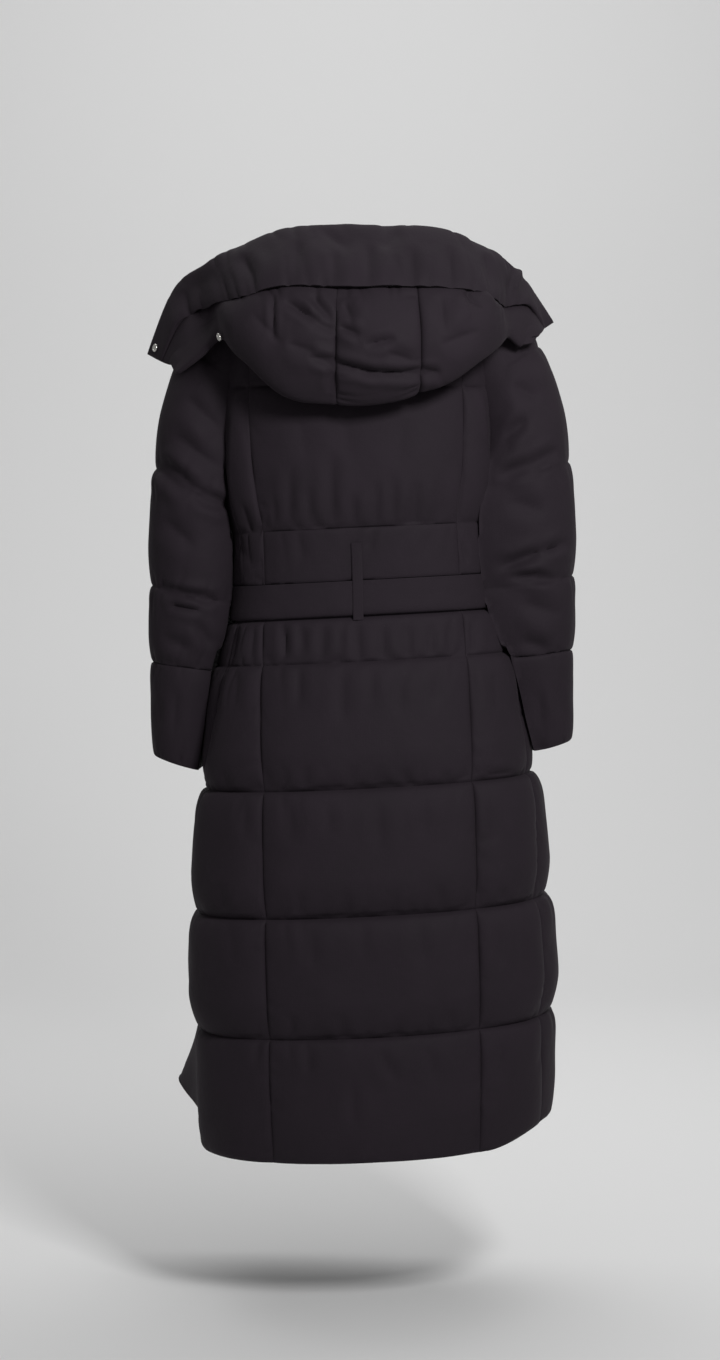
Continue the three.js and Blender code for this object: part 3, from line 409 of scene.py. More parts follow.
def lay_out(mesh, outer, row, column):
    """The cloth's own flat map in metres, so that its weave keeps one size and follows the grain."""
    widths = np.linalg.norm(np.diff(outer, axis=1), axis=2)
    lengths = np.linalg.norm(np.diff(outer, axis=0), axis=2).mean(axis=1)
    u = np.concatenate([np.zeros((outer.shape[0], 1)), np.cumsum(widths, axis=1)], axis=1)
    u = u - u[:, outer.shape[1] // 2, None]
    v = np.concatenate([[0], -np.cumsum(lengths)])
    vertex = np.empty(len(mesh.loops), int)
    mesh.loops.foreach_get("vertex_index", vertex)
    uv = np.stack([u[row, column], v[row]], 1)[vertex]
    mesh.uv_layers.new(name="grain").data.foreach_set("uv", uv.ravel())


def steps(length, least=6):
    """Shares from 0 to 1 for the rows or columns of a grid of some length."""
    even = np.linspace(0, 1, max(int(round(length / CELL)), least) + 1)
    return (1 - CROWDING) * even + CROWDING * (1 - np.cos(np.pi * even)) / 2


def rows_over(column, grid):
    """A value for each row, repeated in every column of a grid."""
    return np.broadcast_to(column[:, None], grid.shape)


def grid_normals(points):
    """Outward directions of a grid of points, whose rows go down and whose columns go round to the right."""
    across = np.gradient(points, axis=1)
    down = np.gradient(points, axis=0)
    normal = np.cross(down, across)
    return normal / np.maximum(np.linalg.norm(normal, axis=-1, keepdims=True), 1e-9)


print("columns in a piece 300 mm wide:", len(steps(300)) - 1)


# %% [markdown]
# Folds that the eye finds first are given in lists for each piece. A row is one soft trough: its
# two ends as distances to the wearer's left and up from the neckline, then its width and depth. A little
# cloth heaps up on both sides of it, as it does when cloth is pushed.

# %% Listed folds
HEAP = 0.34              # the heap beside a fold, as a share of the fold's depth
HEAP_REACH = 2.0         # and this many of its widths from its middle
CREASE_SHARE = 0.45      # of a fold's depth lies in a sharp crease along its bottom
CREASE_WIDTH = 0.36
FOLD_TAPER = 2.5         # a fold keeps its depth until close to its ends
FACING_NONE = -0.05      # how far cloth faces the fold's side, where the fold is gone
FACING_FULL = 0.5        # and where it is whole
FOLD_GAIN = {"back": 1.0, "front": 1.0, "sleeve": 2.4, "cuff": 1.5, "hood": 1.5}

FOLDS_BEHIND = {
    "back_centre_top": [  # gathers over the waist seam, and three slack folds above them
        (98, -285, 100, -372, 8, 3.2), (42, -265, 42, -372, 9, 4.5), (14, -325, 12, -374, 7, 2.8),
        (-20, -308, -18, -375, 8, 3.6), (-42, -300, -40, -375, 7, 3), (-74, -305, -72, -375, 8, 3.4),
        (-106, -298, -108, -372, 8, 2.6), (74, -315, 72, -372, 7, 2.6), (122, -325, 120, -372, 6, 2.2),
        (24, -220, 16, -285, 13, 2), (86, -218, 76, -280, 14, 2), (-55, -222, -48, -292, 13, 2),
    ],
    "back_side_left": [
        (166, -338, 154, -382, 8, 3), (174, -402, 155, -424, 9, 2), (150, -512, 156, -560, 7, 3),
        (174, -514, 182, -556, 7, 2.6), (174, -570, 178, -620, 9, 2.8), (192, -700, 188, -740, 8, 2.6),
        (160, -750, 164, -796, 9, 2.6), (196, -858, 192, -900, 9, 2.4), (180, -918, 178, -968, 9, 2.6),
        (144, -1080, 146, -1112, 7, 2.8),
    ],
    "back_side_right": [
        (-138, -398, -148, -424, 5, 3), (-152, -506, -156, -550, 7, 3), (-183, -572, -186, -624, 9, 2.6),
        (-168, -714, -214, -712, 8, 3), (-178, -750, -182, -802, 9, 2.6), (-196, -860, -192, -888, 8, 2.6),
        (-188, -920, -192, -972, 9, 2.6), (-195, -1084, -188, -1128, 9, 2.6),
    ],
    "back_centre_skirt": [  # the band, the gathers under the belt, then each baffle down to the hem
        (-18, -380, -8, -408, 5, 3.4), (88, -386, 80, -424, 9, 1.6), (-94, -384, -86, -418, 9, 1.6),
        (108, -510, 106, -556, 6, 4), (80, -512, 82, -548, 6, 2.4), (52, -510, 56, -556, 7, 4),
        (30, -510, 28, -544, 5, 2.4), (8, -508, 6, -560, 7, 4.5), (-28, -508, -30, -556, 6, 4),
        (-62, -510, -66, -554, 7, 3), (-96, -510, -94, -554, 7, 3.2), (-120, -512, -123, -550, 6, 2.6),
        (84, -568, 88, -616, 9, 2.6), (30, -568, 26, -634, 10, 3.2), (-14, -568, -12, -606, 8, 2.2),
        (-48, -568, -52, -624, 10, 2.8), (-106, -568, -102, -610, 9, 2.6), (76, -692, 80, -732, 9, 2.6),
        (14, -688, 16, -734, 9, 2.6), (-58, -696, -62, -734, 9, 2.6), (-116, -702, -118, -732, 8, 2.6),
        (98, -748, 96, -798, 10, 2.6), (44, -748, 46, -786, 9, 2.2), (-22, -748, -24, -806, 10, 2.6),
        (-86, -746, -82, -790, 9, 2.2), (84, -862, 88, -902, 9, 2.6), (24, -858, 20, -905, 9, 2.6),
        (-44, -860, -42, -902, 9, 2.6), (-106, -852, -108, -900, 9, 2.6), (70, -918, 66, -968, 10, 2.6),
        (-4, -915, 0, -954, 9, 2.2), (-78, -912, -84, -964, 10, 2.6), (94, -1030, 98, -1072, 9, 2.6),
        (30, -1025, 26, -1072, 9, 2.6), (-52, -1028, -48, -1072, 9, 2.6), (-120, -1022, -122, -1066, 9, 2.6),
        (12, -1118, 12, -1186, 9, 3.4), (-22, -1086, -50, -1124, 8, 3.2), (70, -1084, 76, -1120, 8, 2.6),
        (-92, -1084, -98, -1124, 9, 2.6),
    ],
    "sleeve_left": [  # armhole, elbow and wrist
        (248, -195, 186, -250, 13, 3.5), (264, -248, 195, -298, 13, 3), (288, -284, 232, -332, 11, 6),
        (236, -332, 182, -350, 9, 5.5), (282, -364, 230, -406, 13, 2.6), (282, -466, 198, -480, 7, 5),
        (274, -484, 220, -494, 6, 4), (282, -530, 238, -548, 10, 2.6), (232, -508, 208, -546, 8, 2.6),
    ],
    "cuff_left": [
        (260, -602, 266, -672, 9, 2.2), (284, -618, 286, -660, 7, 1.8),
    ],
    "sleeve_right": [  # this arm is bent, so its creases fan out from the armhole and the elbow
        (-208, -180, -248, -200, 12, 3), (-192, -256, -230, -228, 9, 4.5), (-192, -306, -240, -288, 9, 5.5),
        (-236, -290, -272, -270, 8, 4.5), (-200, -340, -256, -356, 13, 2.6), (-190, -434, -252, -410, 8, 5.5),
        (-250, -412, -288, -398, 7, 3.6), (-202, -445, -270, -448, 7, 4.5), (-218, -480, -280, -500, 12, 2.6),
        (-220, -535, -266, -548, 9, 2.6),
    ],
    "cuff_right": [
        (-249, -604, -253, -664, 9, 2.2), (-272, -598, -277, -642, 7, 1.8),
    ],
    "hood_centre": [  # the tuck across the bag, and creases that run to the brim
        (64, -154, -24, -172, 6, 6), (6, -170, -98, -172, 6, 6), (32, -112, 2, -125, 6, 4.5),
        (24, -80, 12, -112, 8, 3.2), (-3, -137, -44, -128, 6, 4), (-30, -144, -68, -156, 8, 2.8),
    ],
    "hood_side_left": [
        (70, -150, 26, -162, 6, 5.5), (39, -162, 43, -198, 5, 4), (102, -80, 56, -108, 6, 5),
        (68, -72, 37, -109, 6, 4.4), (116, -68, 117, -130, 4, 3), (144, -96, 104, -136, 12, 2.8),
        (98, -134, 62, -145, 10, 3.2), (60, -108, 34, -120, 6, 3.2),
    ],
    "hood_side_right": [
        (-64, -173, -104, -168, 6, 5), (-76, -174, -68, -206, 5, 4), (-102, -136, -152, -114, 11, 3.2),
        (-164, -56, -185, -80, 6, 4.4), (-134, -64, -156, -89, 8, 4.2), (-104, -72, -108, -123, 10, 2.6),
    ],
    "hood_brim": [  # the valley on its left wing comes first, and the ridge on its right one last
        (244, -48, 230, -120, 10, 4), (200, -24, 178, -66, 12, 1.5), (158, -16, 136, -53, 9, 4),
        (84, 0, 90, -48, 10, 3.2), (60, 20, 14, -15, 14, 2.8), (35, -16, 39, -46, 8, 2.8),
        (-11, -8, -8, -50, 9, 3.2), (-47, 16, -25, -15, 14, 2.8), (-65, -14, -69, -47, 8, 3.2),
        (-114, -10, -117, -52, 9, 3.4), (-159, -14, -170, -53, 10, 4), (-213, -12, -203, -65, 5, -4),
    ],
}
# the photograph hides the front, which gathers in the same way
FOLDS_IN_FRONT = {
    "front_left": [
        (60, -300, 62, -372, 8, 3.4), (98, -290, 96, -370, 9, 3), (134, -310, 128, -372, 8, 3),
        (56, -506, 60, -560, 7, 3.4), (92, -508, 96, -556, 7, 3), (126, -512, 134, -556, 7, 3),
        (80, -570, 84, -636, 10, 2.8), (140, -575, 146, -622, 9, 2.6), (150, -215, 96, -262, 13, 3.2),
    ],
    "front_right": [
        (-58, -298, -60, -374, 8, 3.4), (-94, -292, -92, -372, 9, 3), (-130, -305, -126, -372, 8, 3),
        (-58, -504, -62, -556, 7, 3.4), (-94, -506, -100, -552, 7, 3), (-128, -506, -136, -550, 7, 3),
        (-84, -566, -88, -630, 10, 2.8), (-144, -570, -150, -616, 9, 2.6), (-148, -212, -98, -258, 13, 3.2),
    ],
    "sleeve_left": [
        (284, -300, 200, -322, 9, 4.5), (290, -352, 196, -372, 9, 5.5), (288, -398, 200, -404, 9, 5),
        (280, -440, 204, -436, 10, 4),
    ],
    "sleeve_right": [
        (-284, -292, -198, -316, 9, 4.5), (-290, -344, -194, -364, 9, 5.5), (-288, -390, -198, -398, 9, 5),
        (-280, -432, -204, -428, 10, 4),
    ],
}


def folds_on(piece, points, normals):
    """How far the named piece's folds move its points out."""
    moved = np.zeros(points.shape[:-1])
    gain = FOLD_GAIN[piece.split("_")[0]]
    for folds, outwards in ((FOLDS_BEHIND, 1), (FOLDS_IN_FRONT, -1)):
        facing = smoothstep(FACING_NONE, FACING_FULL, normals[..., 1] * outwards)
        for x0, z0, x1, z1, width, depth in folds.get(piece, []):
            run = np.array([x1 - x0, z1 - z0], float)
            flat = points[..., [0, 2]] - np.array([x0, z0], float)
            share = np.clip(flat @ run / (run @ run), 0, 1)
            off = np.linalg.norm(flat - share[..., None] * run, axis=-1)
            trough = (1 - CREASE_SHARE) * np.exp(-(off / width) ** 2)
            trough += CREASE_SHARE * np.exp(-(off / (CREASE_WIDTH * width)) ** 2)
            trough -= HEAP * np.exp(-((off - HEAP_REACH * width) / width) ** 2)
            taper = np.maximum(1 - np.abs(2 * share - 1) ** FOLD_TAPER, 0)
            moved -= gain * depth * trough * taper * facing
    return moved


fold_count = sum(len(folds) for side in (FOLDS_BEHIND, FOLDS_IN_FRONT) for folds in side.values())
print("folds laid by hand:", fold_count)


# %% [markdown]
# The body is five long panels round the wearer, cut across by the baffle seams. The down sinks, so each
# baffle is full soon under the seam above it, hangs a little, and tucks in over the next seam.

# %% Rows and columns of a body panel
UNDER_BELT_STEP = 0.010  # the flat strip under the belt starts right below the band

BODY_PANELS = [
    ("back_side_left", "left_side", "left_princess", 0, HEM, 170),
    ("back_centre_top", "left_princess", "right_princess", 0, WAIST_SEAM, 290),
    ("back_centre_skirt", "left_princess", "right_princess", WAIST_SEAM, HEM, 290),
    ("back_side_right", "right_princess", "right_side", 0, HEM, 170),
    ("front_right", "right_side", "front_from_right", 0, HEM, 360),
    ("front_left", "front_from_left", "left_side", 0, HEM, 360),
]


def even_angles(z, start, end, shares):
    """Angles whose points are spaced along the cloth as shares says, at each height."""
    angles = start[:, None] + (end - start)[:, None] * np.linspace(0, 1, 161)
    ring = body_point(rows_over(z, angles), angles, 0.0)
    lengths = np.linalg.norm(np.diff(ring, axis=1), axis=2)
    run = np.concatenate([np.zeros((len(z), 1)), np.cumsum(lengths, axis=1)], 1)
    total = run[:, -1:]
    return np.stack([np.interp(shares * total[i], run[i], angles[i]) for i in range(len(z))]), total


def baffle_rows(top, bottom, seam_top, seam_bottom):
    """A panel's rows: height, fullness, distance to the seams above and below, and how deep both gather."""
    rows, upper = [], 0.0
    for i, lower in enumerate(BODY_BAFFLES["bottom"]):
        if lower < top and upper > bottom:
            share = steps(upper - lower)
            if BODY_BAFFLES["fullness"][i] == 0:
                share = np.insert(share, 1, UNDER_BELT_STEP)
            baffle = [
                upper + (lower - upper) * share,
                sunken_pillow(share, *(BODY_BAFFLES[k][i] for k in ("fullness", "kept_above", "kept_below"))),
                (upper - lower) * share,
                (upper - lower) * (1 - share),
                np.full_like(share, BODY_BAFFLES["gathers_above"][i]),
                np.full_like(share, BODY_BAFFLES["gathers_below"][i]),
            ]
            rows.append(np.array(baffle)[:, 1 if rows else 0:])
        upper = lower
    rows = np.concatenate(rows, 1)
    rows[0, 0] -= seam_top
    rows[0, -1] += seam_bottom
    return rows


print("rows in a full length panel:", len(baffle_rows(0, HEM, 0, 0)[0]))


# %% Body panels
SEAM_BITE = 1.2          # the stitches pull the cloth this far in
BITE_REACH = 2.5
PUCKER_SPACING = 21.0
PUCKER_REACH = 30.0
PUCKER_DEPTH = 4.4
SIDE_PUCKER = 0.6        # the seams down the body pucker it less deep and less far, by this share
SIDE_SPACING = 1.2       # and more widely
SOFT_WAVE = 1.5
LONG_WAVE = (70.0, 110.0)    # size of the soft waves round the body and along it
SHORT_WAVE = (30.0, 42.0)
SHORT_WAVE_SHARE = 0.5
FINE_LIFT = 0.25         # creases need down under them: they are whole where it is this full
FOLD_LIFT = 0.3
FLAT_FOLD = 0.1          # a laid fold still shows a little where the cloth is flat
ARMHOLE_PINCH = 22.0     # the down thins out within this distance of the sleeve
ARMHOLE_KEPT = 0.25
KEPT_AT_SEAM = {
    "left_princess": SEAM_FULLNESS,
    "right_princess": SEAM_FULLNESS,
    "left_side": FULL_SIDE_SEAM,
    "right_side": SEAM_FULLNESS,
    "front_from_left": 0,
    "front_from_right": 0,
}


def seam_bite(distance):
    return SEAM_BITE * np.exp(-(distance / BITE_REACH) ** 2)


def body_panel(name, start_seam, end_seam, top, bottom, flat_width, seed):
    gap = SEAM_GAP / 2
    at_waist = (gap if edge == WAIST_SEAM else 0 for edge in (top, bottom))
    z, full, above, below, gathers_above, gathers_below = baffle_rows(top, bottom, *at_waist)
    full, gathers_above, gathers_below = full[:, None], gathers_above[:, None], gathers_below[:, None]
    section = body_section(z)
    start, end = SEAM_ANGLES[start_seam](section), SEAM_ANGLES[end_seam](section)
    start, end = start + gap / arc_speed(z, start), end - gap / arc_speed(z, end)
    shares = steps(flat_width)
    angles, width = even_angles(z, start, end, shares)
    heights, above, below = (rows_over(column, angles) for column in (z, above, below))

    strip = PLACKET_WIDTH / 2 + PLACKET_MARGIN
    along = width * shares
    left = np.maximum(along - (strip if start_seam == "front_from_left" else 0), 0)
    right = np.maximum(width * (1 - shares) - (strip if end_seam == "front_from_right" else 0), 0)
    across, side = left / (left + right), np.minimum(left, right)
    puff = BODY_PUFF * full * across_panel(across, KEPT_AT_SEAM[start_seam], KEPT_AT_SEAM[end_seam])
    lift = np.minimum(full, 1) * pillow(across)

    puckers = gathers_below * pleats(along, below, PUCKER_SPACING, PUCKER_REACH, seed)
    puckers += gathers_above * pleats(along, above, PUCKER_SPACING, PUCKER_REACH, seed + 10)
    for away, next_seed in ((left, seed + 20), (right, seed + 30)):
        spacing, reach = PUCKER_SPACING * SIDE_SPACING, PUCKER_REACH * SIDE_PUCKER
        puckers += SIDE_PUCKER * pleats(-heights, away, spacing, reach, next_seed)
    waves = wander(along / LONG_WAVE[0], heights / LONG_WAVE[1], seed + 40)
    waves += SHORT_WAVE_SHARE * wander(along / SHORT_WAVE[0], heights / SHORT_WAVE[1], seed + 50)

    base = body_point(heights, angles, puff)
    folds = folds_on(name, base, grid_normals(base)) * smoothstep(0, FOLD_LIFT, lift + FLAT_FOLD)
    fine = (PUCKER_DEPTH * puckers + SOFT_WAVE * waves) * smoothstep(0, FINE_LIFT, lift) + folds
    bite = seam_bite(np.minimum(np.minimum(above, below), side))
    out = np.maximum(puff + fine - bite, -SEAM_BITE)
    for sleeve_side in (1, -1):
        near = smoothstep(0, ARMHOLE_PINCH, height_over_sleeve(base, sleeve_side))
        out = np.minimum(out, out * (ARMHOLE_KEPT + (1 - ARMHOLE_KEPT) * near))
    outer = body_point(heights, angles, out)
    hanging = np.clip(puff / BODY_PUFF, 0, SAG_MOST) * smoothstep(0, SAG_RISE, above)
    outer[..., 2] -= SAG * hanging * smoothstep(0, SAG_FALL, below)
    return cushion(name + "_cloth", outer, body_point(heights, angles, np.full_like(out, -SHELL)))


print("panels of the body:", [name for name, *_ in BODY_PANELS])


# %% [markdown]
# A set-in sleeve is a tube along a bent line, from inside the shoulder to the wrist. It hangs beside the
# body, so below the armpit its inner side is pushed out until it just clears the full down of the body.

# %% Sleeve sizes
SLEEVE = table("x y z half depth slant", [
    [118, 0, -84, 40, 44, 0],
    [152, 0, -108, 74, 78, 0],
    [186, 2, -152, 68, 78, 6],
    [212, 5, -215, 62, 74, 16],
    [231, 8, -293, 60, 70, 23],
    [238, 9, -392, 60, 66, 19],
    [242, 6, -480, 58, 62, 9],
    [248, 0, -565, 52, 56, 2],
    [257, -8, -643, 41, 49, 4],
    [261, -14, -712, 38, 46, 9],
])
SLEEVE_BAFFLES = table("end fullness", [
    [2.2, 0.4],
    [4.3, 0.9],
    [5.9, 1.0],
    [7.1, 0.9],
    [9, 0.9],
])
SLEEVE_SWELL_OUT = 3.0   # the table gives the sleeve's outside, this far over its seams
RIGHT_SLEEVE_LIFT = 0.97
RIGHT_SLEEVE_WIDER = 5.0
WIDER_FROM = 2.0         # rows of the table
WIDER_FULL = 5.0
SWELL_MARGIN = 14.0
SIDE_SHARE = 0.5         # of the body's down stands at its sides, where the sleeve touches it
HUG = 34.0               # the sleeve's down gives way and closes round the body's side by this much
HUG_ANGLE = 0.85         # before and behind the line where they touch, in radians
HUG_SPREAD = 0.5
HUG_STARTS = 30.0
PRESSED_TURN = 0.17      # share of a turn in which the body presses on the sleeve, so no seam pinches it
ARMPIT = -262.0
SLEEVE_CLEARANCE = 1.0
NECK_FADE = 24.0
SLEEVE_COLUMNS = 96
WRIST = 9.0              # last row of the table
UPPER_SLEEVE = np.arange(1, 5.01, 0.25)
print("rows of the sleeve:", len(SLEEVE["z"]), "baffles:", len(SLEEVE_BAFFLES["end"]))


# %% Heights over the body and the sleeves
MIRROR = {1: np.array([1.0, 1.0, 1.0]), -1: np.array([-1.0, 1.0, 1.0])}
LOOK_AHEAD = 0.05
LIFT_ROUNDS = 6
LEAST_SLOPE = 0.2


def height_over_body(points):
    """Roughly how far points lie outside the body's seams, in millimetres."""
    x, y, z = np.moveaxis(points, -1, 0)
    tilt = SEAM_TILT * smoothstep(TILT_STARTS, TILT_FULL, z) * x
    section = body_section(np.minimum(z - tilt, 0))
    shrink = 1 - np.maximum(z, 0) / NECK_FADE
    depth = np.where(y > 0, section["back"], section["front"])
    across = np.abs(x - section["centre"]) / section["half"]
    n = section["round"]
    return ((across ** n + np.abs(y / depth) ** n) ** (1 / n) - shrink) * np.minimum(section["half"], depth)


def sleeve_frame(position, side):
    """The sleeve's centre and its outward direction at positions between the rows of SLEEVE."""
    at = lambda k: np.stack([row_between(SLEEVE, k, axis) for axis in "xyz"], -1)
    along = at(np.minimum(position + LOOK_AHEAD, WRIST)) - at(np.maximum(position - LOOK_AHEAD, 0))
    along /= np.linalg.norm(along, axis=-1, keepdims=True)
    outwards = -np.cross(np.array([0.0, 1.0, 0.0]), along)
    outwards /= np.linalg.norm(outwards, axis=-1, keepdims=True)
    return at(position) * np.array([1, 1, RIGHT_SLEEVE_LIFT if side < 0 else 1]), outwards


def sleeve_size(position):
    """Half width and half depth over the sleeve's seams."""
    return (row_between(SLEEVE, position, column) - SLEEVE_SWELL_OUT for column in ("half", "depth"))


def height_over_sleeve(points, side):
    """Roughly how far points lie outside the upper sleeve's seams, in millimetres."""
    least = np.full(points.shape[:-1], 1e9)
    for position in UPPER_SLEEVE:
        centre, outwards = sleeve_frame(position, side)
        half, depth = sleeve_size(position)
        away = points * MIRROR[side] - centre
        across, deep = away @ outwards, away[..., 1]
        along = np.maximum((away ** 2).sum(-1) - across ** 2 - deep ** 2, 0)
        shares = (across / half) ** 2 + (deep / depth) ** 2 + along / half ** 2
        least = np.minimum(least, (np.sqrt(shares) - 1) * half)
    return least


def lifted_off(points, height, clearance):
    """Moves points out until each is at least the clearance over a form."""
    moved = points.copy()
    for _ in range(LIFT_ROUNDS):
        here = height(moved)
        slope = np.stack([height(moved + step) - here for step in np.eye(3)], -1)
        length = np.linalg.norm(slope, axis=-1)
        unit = slope / np.maximum(length, 1e-9)[..., None]
        short = np.maximum(clearance - here, 0)
        moved += unit * (short / np.maximum(length, LEAST_SLOPE))[..., None]
    return moved


under_back = np.array([[0.0, 60.0, -300.0]])
print("lifted clear of the body:", lifted_off(under_back, height_over_body, 5.0).round(1))


# %% Sleeves and cuffs
SLEEVE_SEAM_KEPT = 0.2
SLEEVE_GIRTH = 380.0
SLEEVE_ROW = 75.0        # millimetres between the rows of the sleeve's table
SLEEVE_PUCKER_DEPTH = 4.6
SLEEVE_PUCKER_SPACING = 19.0
SLEEVE_PUCKER_REACH = 34.0
UPPER_PUCKER = 0.8       # under a seam the puckers are less deep and less long, by this share
SLEEVE_WAVE = 60.0
SLEEVE_WAVE_SHARE = 1.2
UNDERARM_FADE = 40.0     # no creases near the seam under the arm
CUFF_GAP = 0.006         # clear gap over the cuff, in rows of the table
ARMHOLE_BITE = 24.0
ARMHOLE_BITE_FROM = 6.0
ARMPIT_BLEND = 20.0
ARMHOLE_PUFF = 1.0


def body_swell(z):
    """How far the down, or the belt, stands out of the body near each height."""
    swell = np.full_like(z, BELT_SEAT + BELT_THICKNESS)
    upper = 0.0
    for lower, fullness in zip(BODY_BAFFLES["bottom"], BODY_BAFFLES["fullness"]):
        near = (z < upper + SWELL_MARGIN) & (z > lower - SWELL_MARGIN)
        swell = np.where(near, np.maximum(swell, BODY_PUFF * fullness), swell)
        upper = lower
    return swell


def sleeve_ring(position, side, out, clearance):
    """position is a column of rows; out has a row for each position and a column for each angle."""
    centre, outwards = sleeve_frame(position, side)
    half, depth = sleeve_size(position)
    slant = row_between(SLEEVE, position, "slant")
    wider = RIGHT_SLEEVE_WIDER * smoothstep(WIDER_FROM, WIDER_FULL, position) * (side < 0)
    angle = np.pi + 2 * np.pi * np.linspace(0, 1, out.shape[1]) * side
    cos, sin = np.cos(angle), np.sin(angle)
    across = ((half + wider)[:, None] + out) * cos - wider[:, None]
    points = centre[:, None] + outwards[:, None] * across[..., None]
    points[..., 1] += (depth[:, None] + out) * sin
    points = points * MIRROR[side]
    points[..., 2] += slant[:, None] * cos
    low = centre[:, 2] < ARMPIT
    over_down = clearance + SIDE_SHARE * body_swell(points[low][..., 2])
    points[low] = lifted_off(points[low], height_over_body, over_down)
    hug = HUG * np.exp(-((np.abs(angle - np.pi) - HUG_ANGLE) / HUG_SPREAD) ** 2)
    reach = smoothstep(ARMPIT + HUG_STARTS, ARMPIT - HUG_STARTS, centre[:, 2])
    points[..., 0] -= side * hug * reach[:, None]
    points[low] = lifted_off(points[low], height_over_body, over_down)
    return points


def sleeve_rows(first, last, side):
    """Rows of some of the baffles: position, fullness, and distance to the seams above and below."""
    rows = []
    start = SLEEVE_BAFFLES["end"][first - 1] if first else 0.0
    for end, fullness in zip(SLEEVE_BAFFLES["end"][first:last], SLEEVE_BAFFLES["fullness"][first:last]):
        ends, _ = sleeve_frame(np.array([start, end]), side)
        length = float(np.linalg.norm(ends[1] - ends[0]))
        share = steps(length)
        full = sunken_pillow(share, fullness, SLEEVE_SEAM_KEPT, SLEEVE_SEAM_KEPT)
        baffle = np.array([start + (end - start) * share, full, length * share, length * (1 - share)])
        rows.append(baffle[:, 1 if rows else 0:])
        start = end
    return np.concatenate(rows, 1)


def sleeve_piece(name, first, last, side, seed):
    position, full, above, below = sleeve_rows(first, last, side)
    if first:
        position[0] += CUFF_GAP
    turn = np.broadcast_to(np.linspace(0, 1, SLEEVE_COLUMNS + 1), (len(position), SLEEVE_COLUMNS + 1))
    above, below = rows_over(above, turn), rows_over(below, turn)
    around, from_underarm = turn * SLEEVE_GIRTH, np.minimum(turn, 1 - turn)
    pressed = np.exp(-(from_underarm / PRESSED_TURN) ** 2)
    puff = SLEEVE_PUFF * (full[:, None] + (full.max() - full)[:, None] * pressed)
    base = sleeve_ring(position, side, puff, SLEEVE_CLEARANCE)

    reach = SLEEVE_PUCKER_REACH
    fine = SLEEVE_PUCKER_DEPTH * pleats(around, below, SLEEVE_PUCKER_SPACING, reach, seed)
    upper = pleats(around, above, SLEEVE_PUCKER_SPACING, reach * UPPER_PUCKER, seed + 7)
    fine += SLEEVE_PUCKER_DEPTH * UPPER_PUCKER * upper
    down = rows_over(position * SLEEVE_ROW, turn)
    fine += SOFT_WAVE * SLEEVE_WAVE_SHARE * wander(around / SLEEVE_WAVE, down / SLEEVE_WAVE, seed + 13)
    fine *= smoothstep(0, UNDERARM_FADE, from_underarm * SLEEVE_GIRTH)
    outward = base - base.mean(axis=1, keepdims=True)
    fine += folds_on(name, base, outward / np.linalg.norm(outward, axis=-1, keepdims=True))
    out = np.maximum(puff + fine - seam_bite(np.minimum(above, below)), -SEAM_BITE)
    if first == 0:
        near_body = smoothstep(0, ARMHOLE_BITE, height_over_body(base) - ARMHOLE_BITE_FROM)
        low = smoothstep(ARMPIT + ARMPIT_BLEND, ARMPIT - ARMPIT_BLEND, base[..., 2])
        free = np.maximum(near_body, low)
        out = out * free + np.minimum(out, ARMHOLE_PUFF) * (1 - free)
    outer = sleeve_ring(position, side, out, SLEEVE_CLEARANCE)
    inner = sleeve_ring(position, side, np.full_like(out, -SHELL), SLEEVE_CLEARANCE + SHELL)
    outer[:, -1], inner[:, -1] = outer[:, 0], inner[:, 0]
    return cushion(name + "_cloth", outer, inner, ring=True)


print("rows in a sleeve:", len(sleeve_rows(0, 4, 1)[0]), "and in a cuff:", len(sleeve_rows(4, 5, 1)[0]))


# %% Make the body panels, the sleeves and the cuffs
pieces = {}
for number, (name, *cut) in enumerate(BODY_PANELS):
    pieces[name] = body_panel(name, *cut, seed=100 * number + 5)
for sign, word in ((1, "left"), (-1, "right")):
    pieces["sleeve_" + word] = sleeve_piece("sleeve_" + word, 0, 4, sign, 700 + 50 * sign)
    pieces["cuff_" + word] = sleeve_piece("cuff_" + word, 4, 5, sign, 900 + 50 * sign)
print("faces:", {name: len(piece.data.polygons) for name, piece in pieces.items()})


# %% [markdown]
# The hood lies on the back. Its cloth runs from the neckline down to a fold, up over the bag that holds
# the head when it is worn, and on through a seam into a deep quilted brim, which stands up round the neck
# and spreads over both shoulders. So it is one surface from five lines, swept round the neck.

# %% Hood sizes
HOOD_LINES = ["rest", "fold", "belly", "seam", "rim"]
HOOD = table(
    "neck " + " ".join(f"{line}_{axis}" for line in HOOD_LINES for axis in "xyz"), [
        [-62, 176, -30, -32, 248, 72, -157, 264, 42, -152, 280, 14, -145, 304, -24, -131],
        [-28, 184, 26, -28, 220, 94, -140, 236, 72, -114, 246, 48, -84, 258, 12, -37],
        [14, 150, 78, -34, 188, 110, -116, 198, 111, -92, 201, 94, -63, 208, 58, -9],
        [42, 112, 118, -62, 153, 148, -144, 163, 166, -109, 153, 148, -62, 154, 86, 11],
        [63, 62, 138, -92, 97, 163, -197, 103, 194, -134, 97, 172, -52, 97, 103, 29],
        [90, 0, 143, -106, 0, 168, -211, 0, 203, -135, 0, 180, -54, 0, 108, 30],
        [117, -62, 138, -92, -93, 163, -187, -99, 194, -128, -93, 172, -52, -94, 102, 28],
        [138, -112, 118, -62, -154, 148, -146, -163, 166, -105, -155, 150, -57, -150, 88, 12],
        [166, -150, 78, -34, -190, 112, -114, -198, 112, -90, -194, 97, -66, -196, 56, -7],
        [208, -182, 26, -28, -214, 86, -124, -226, 71, -98, -230, 49, -72, -228, 15, -38],
        [242, -170, -30, -32, -220, 64, -123, -236, 43, -113, -250, 23, -102, -270, -6, -88],
    ])
HOOD_CLEARANCE = 18.0    # over the body and the sleeves, whose down lies under the hood
NECK_ROLL = 0.15
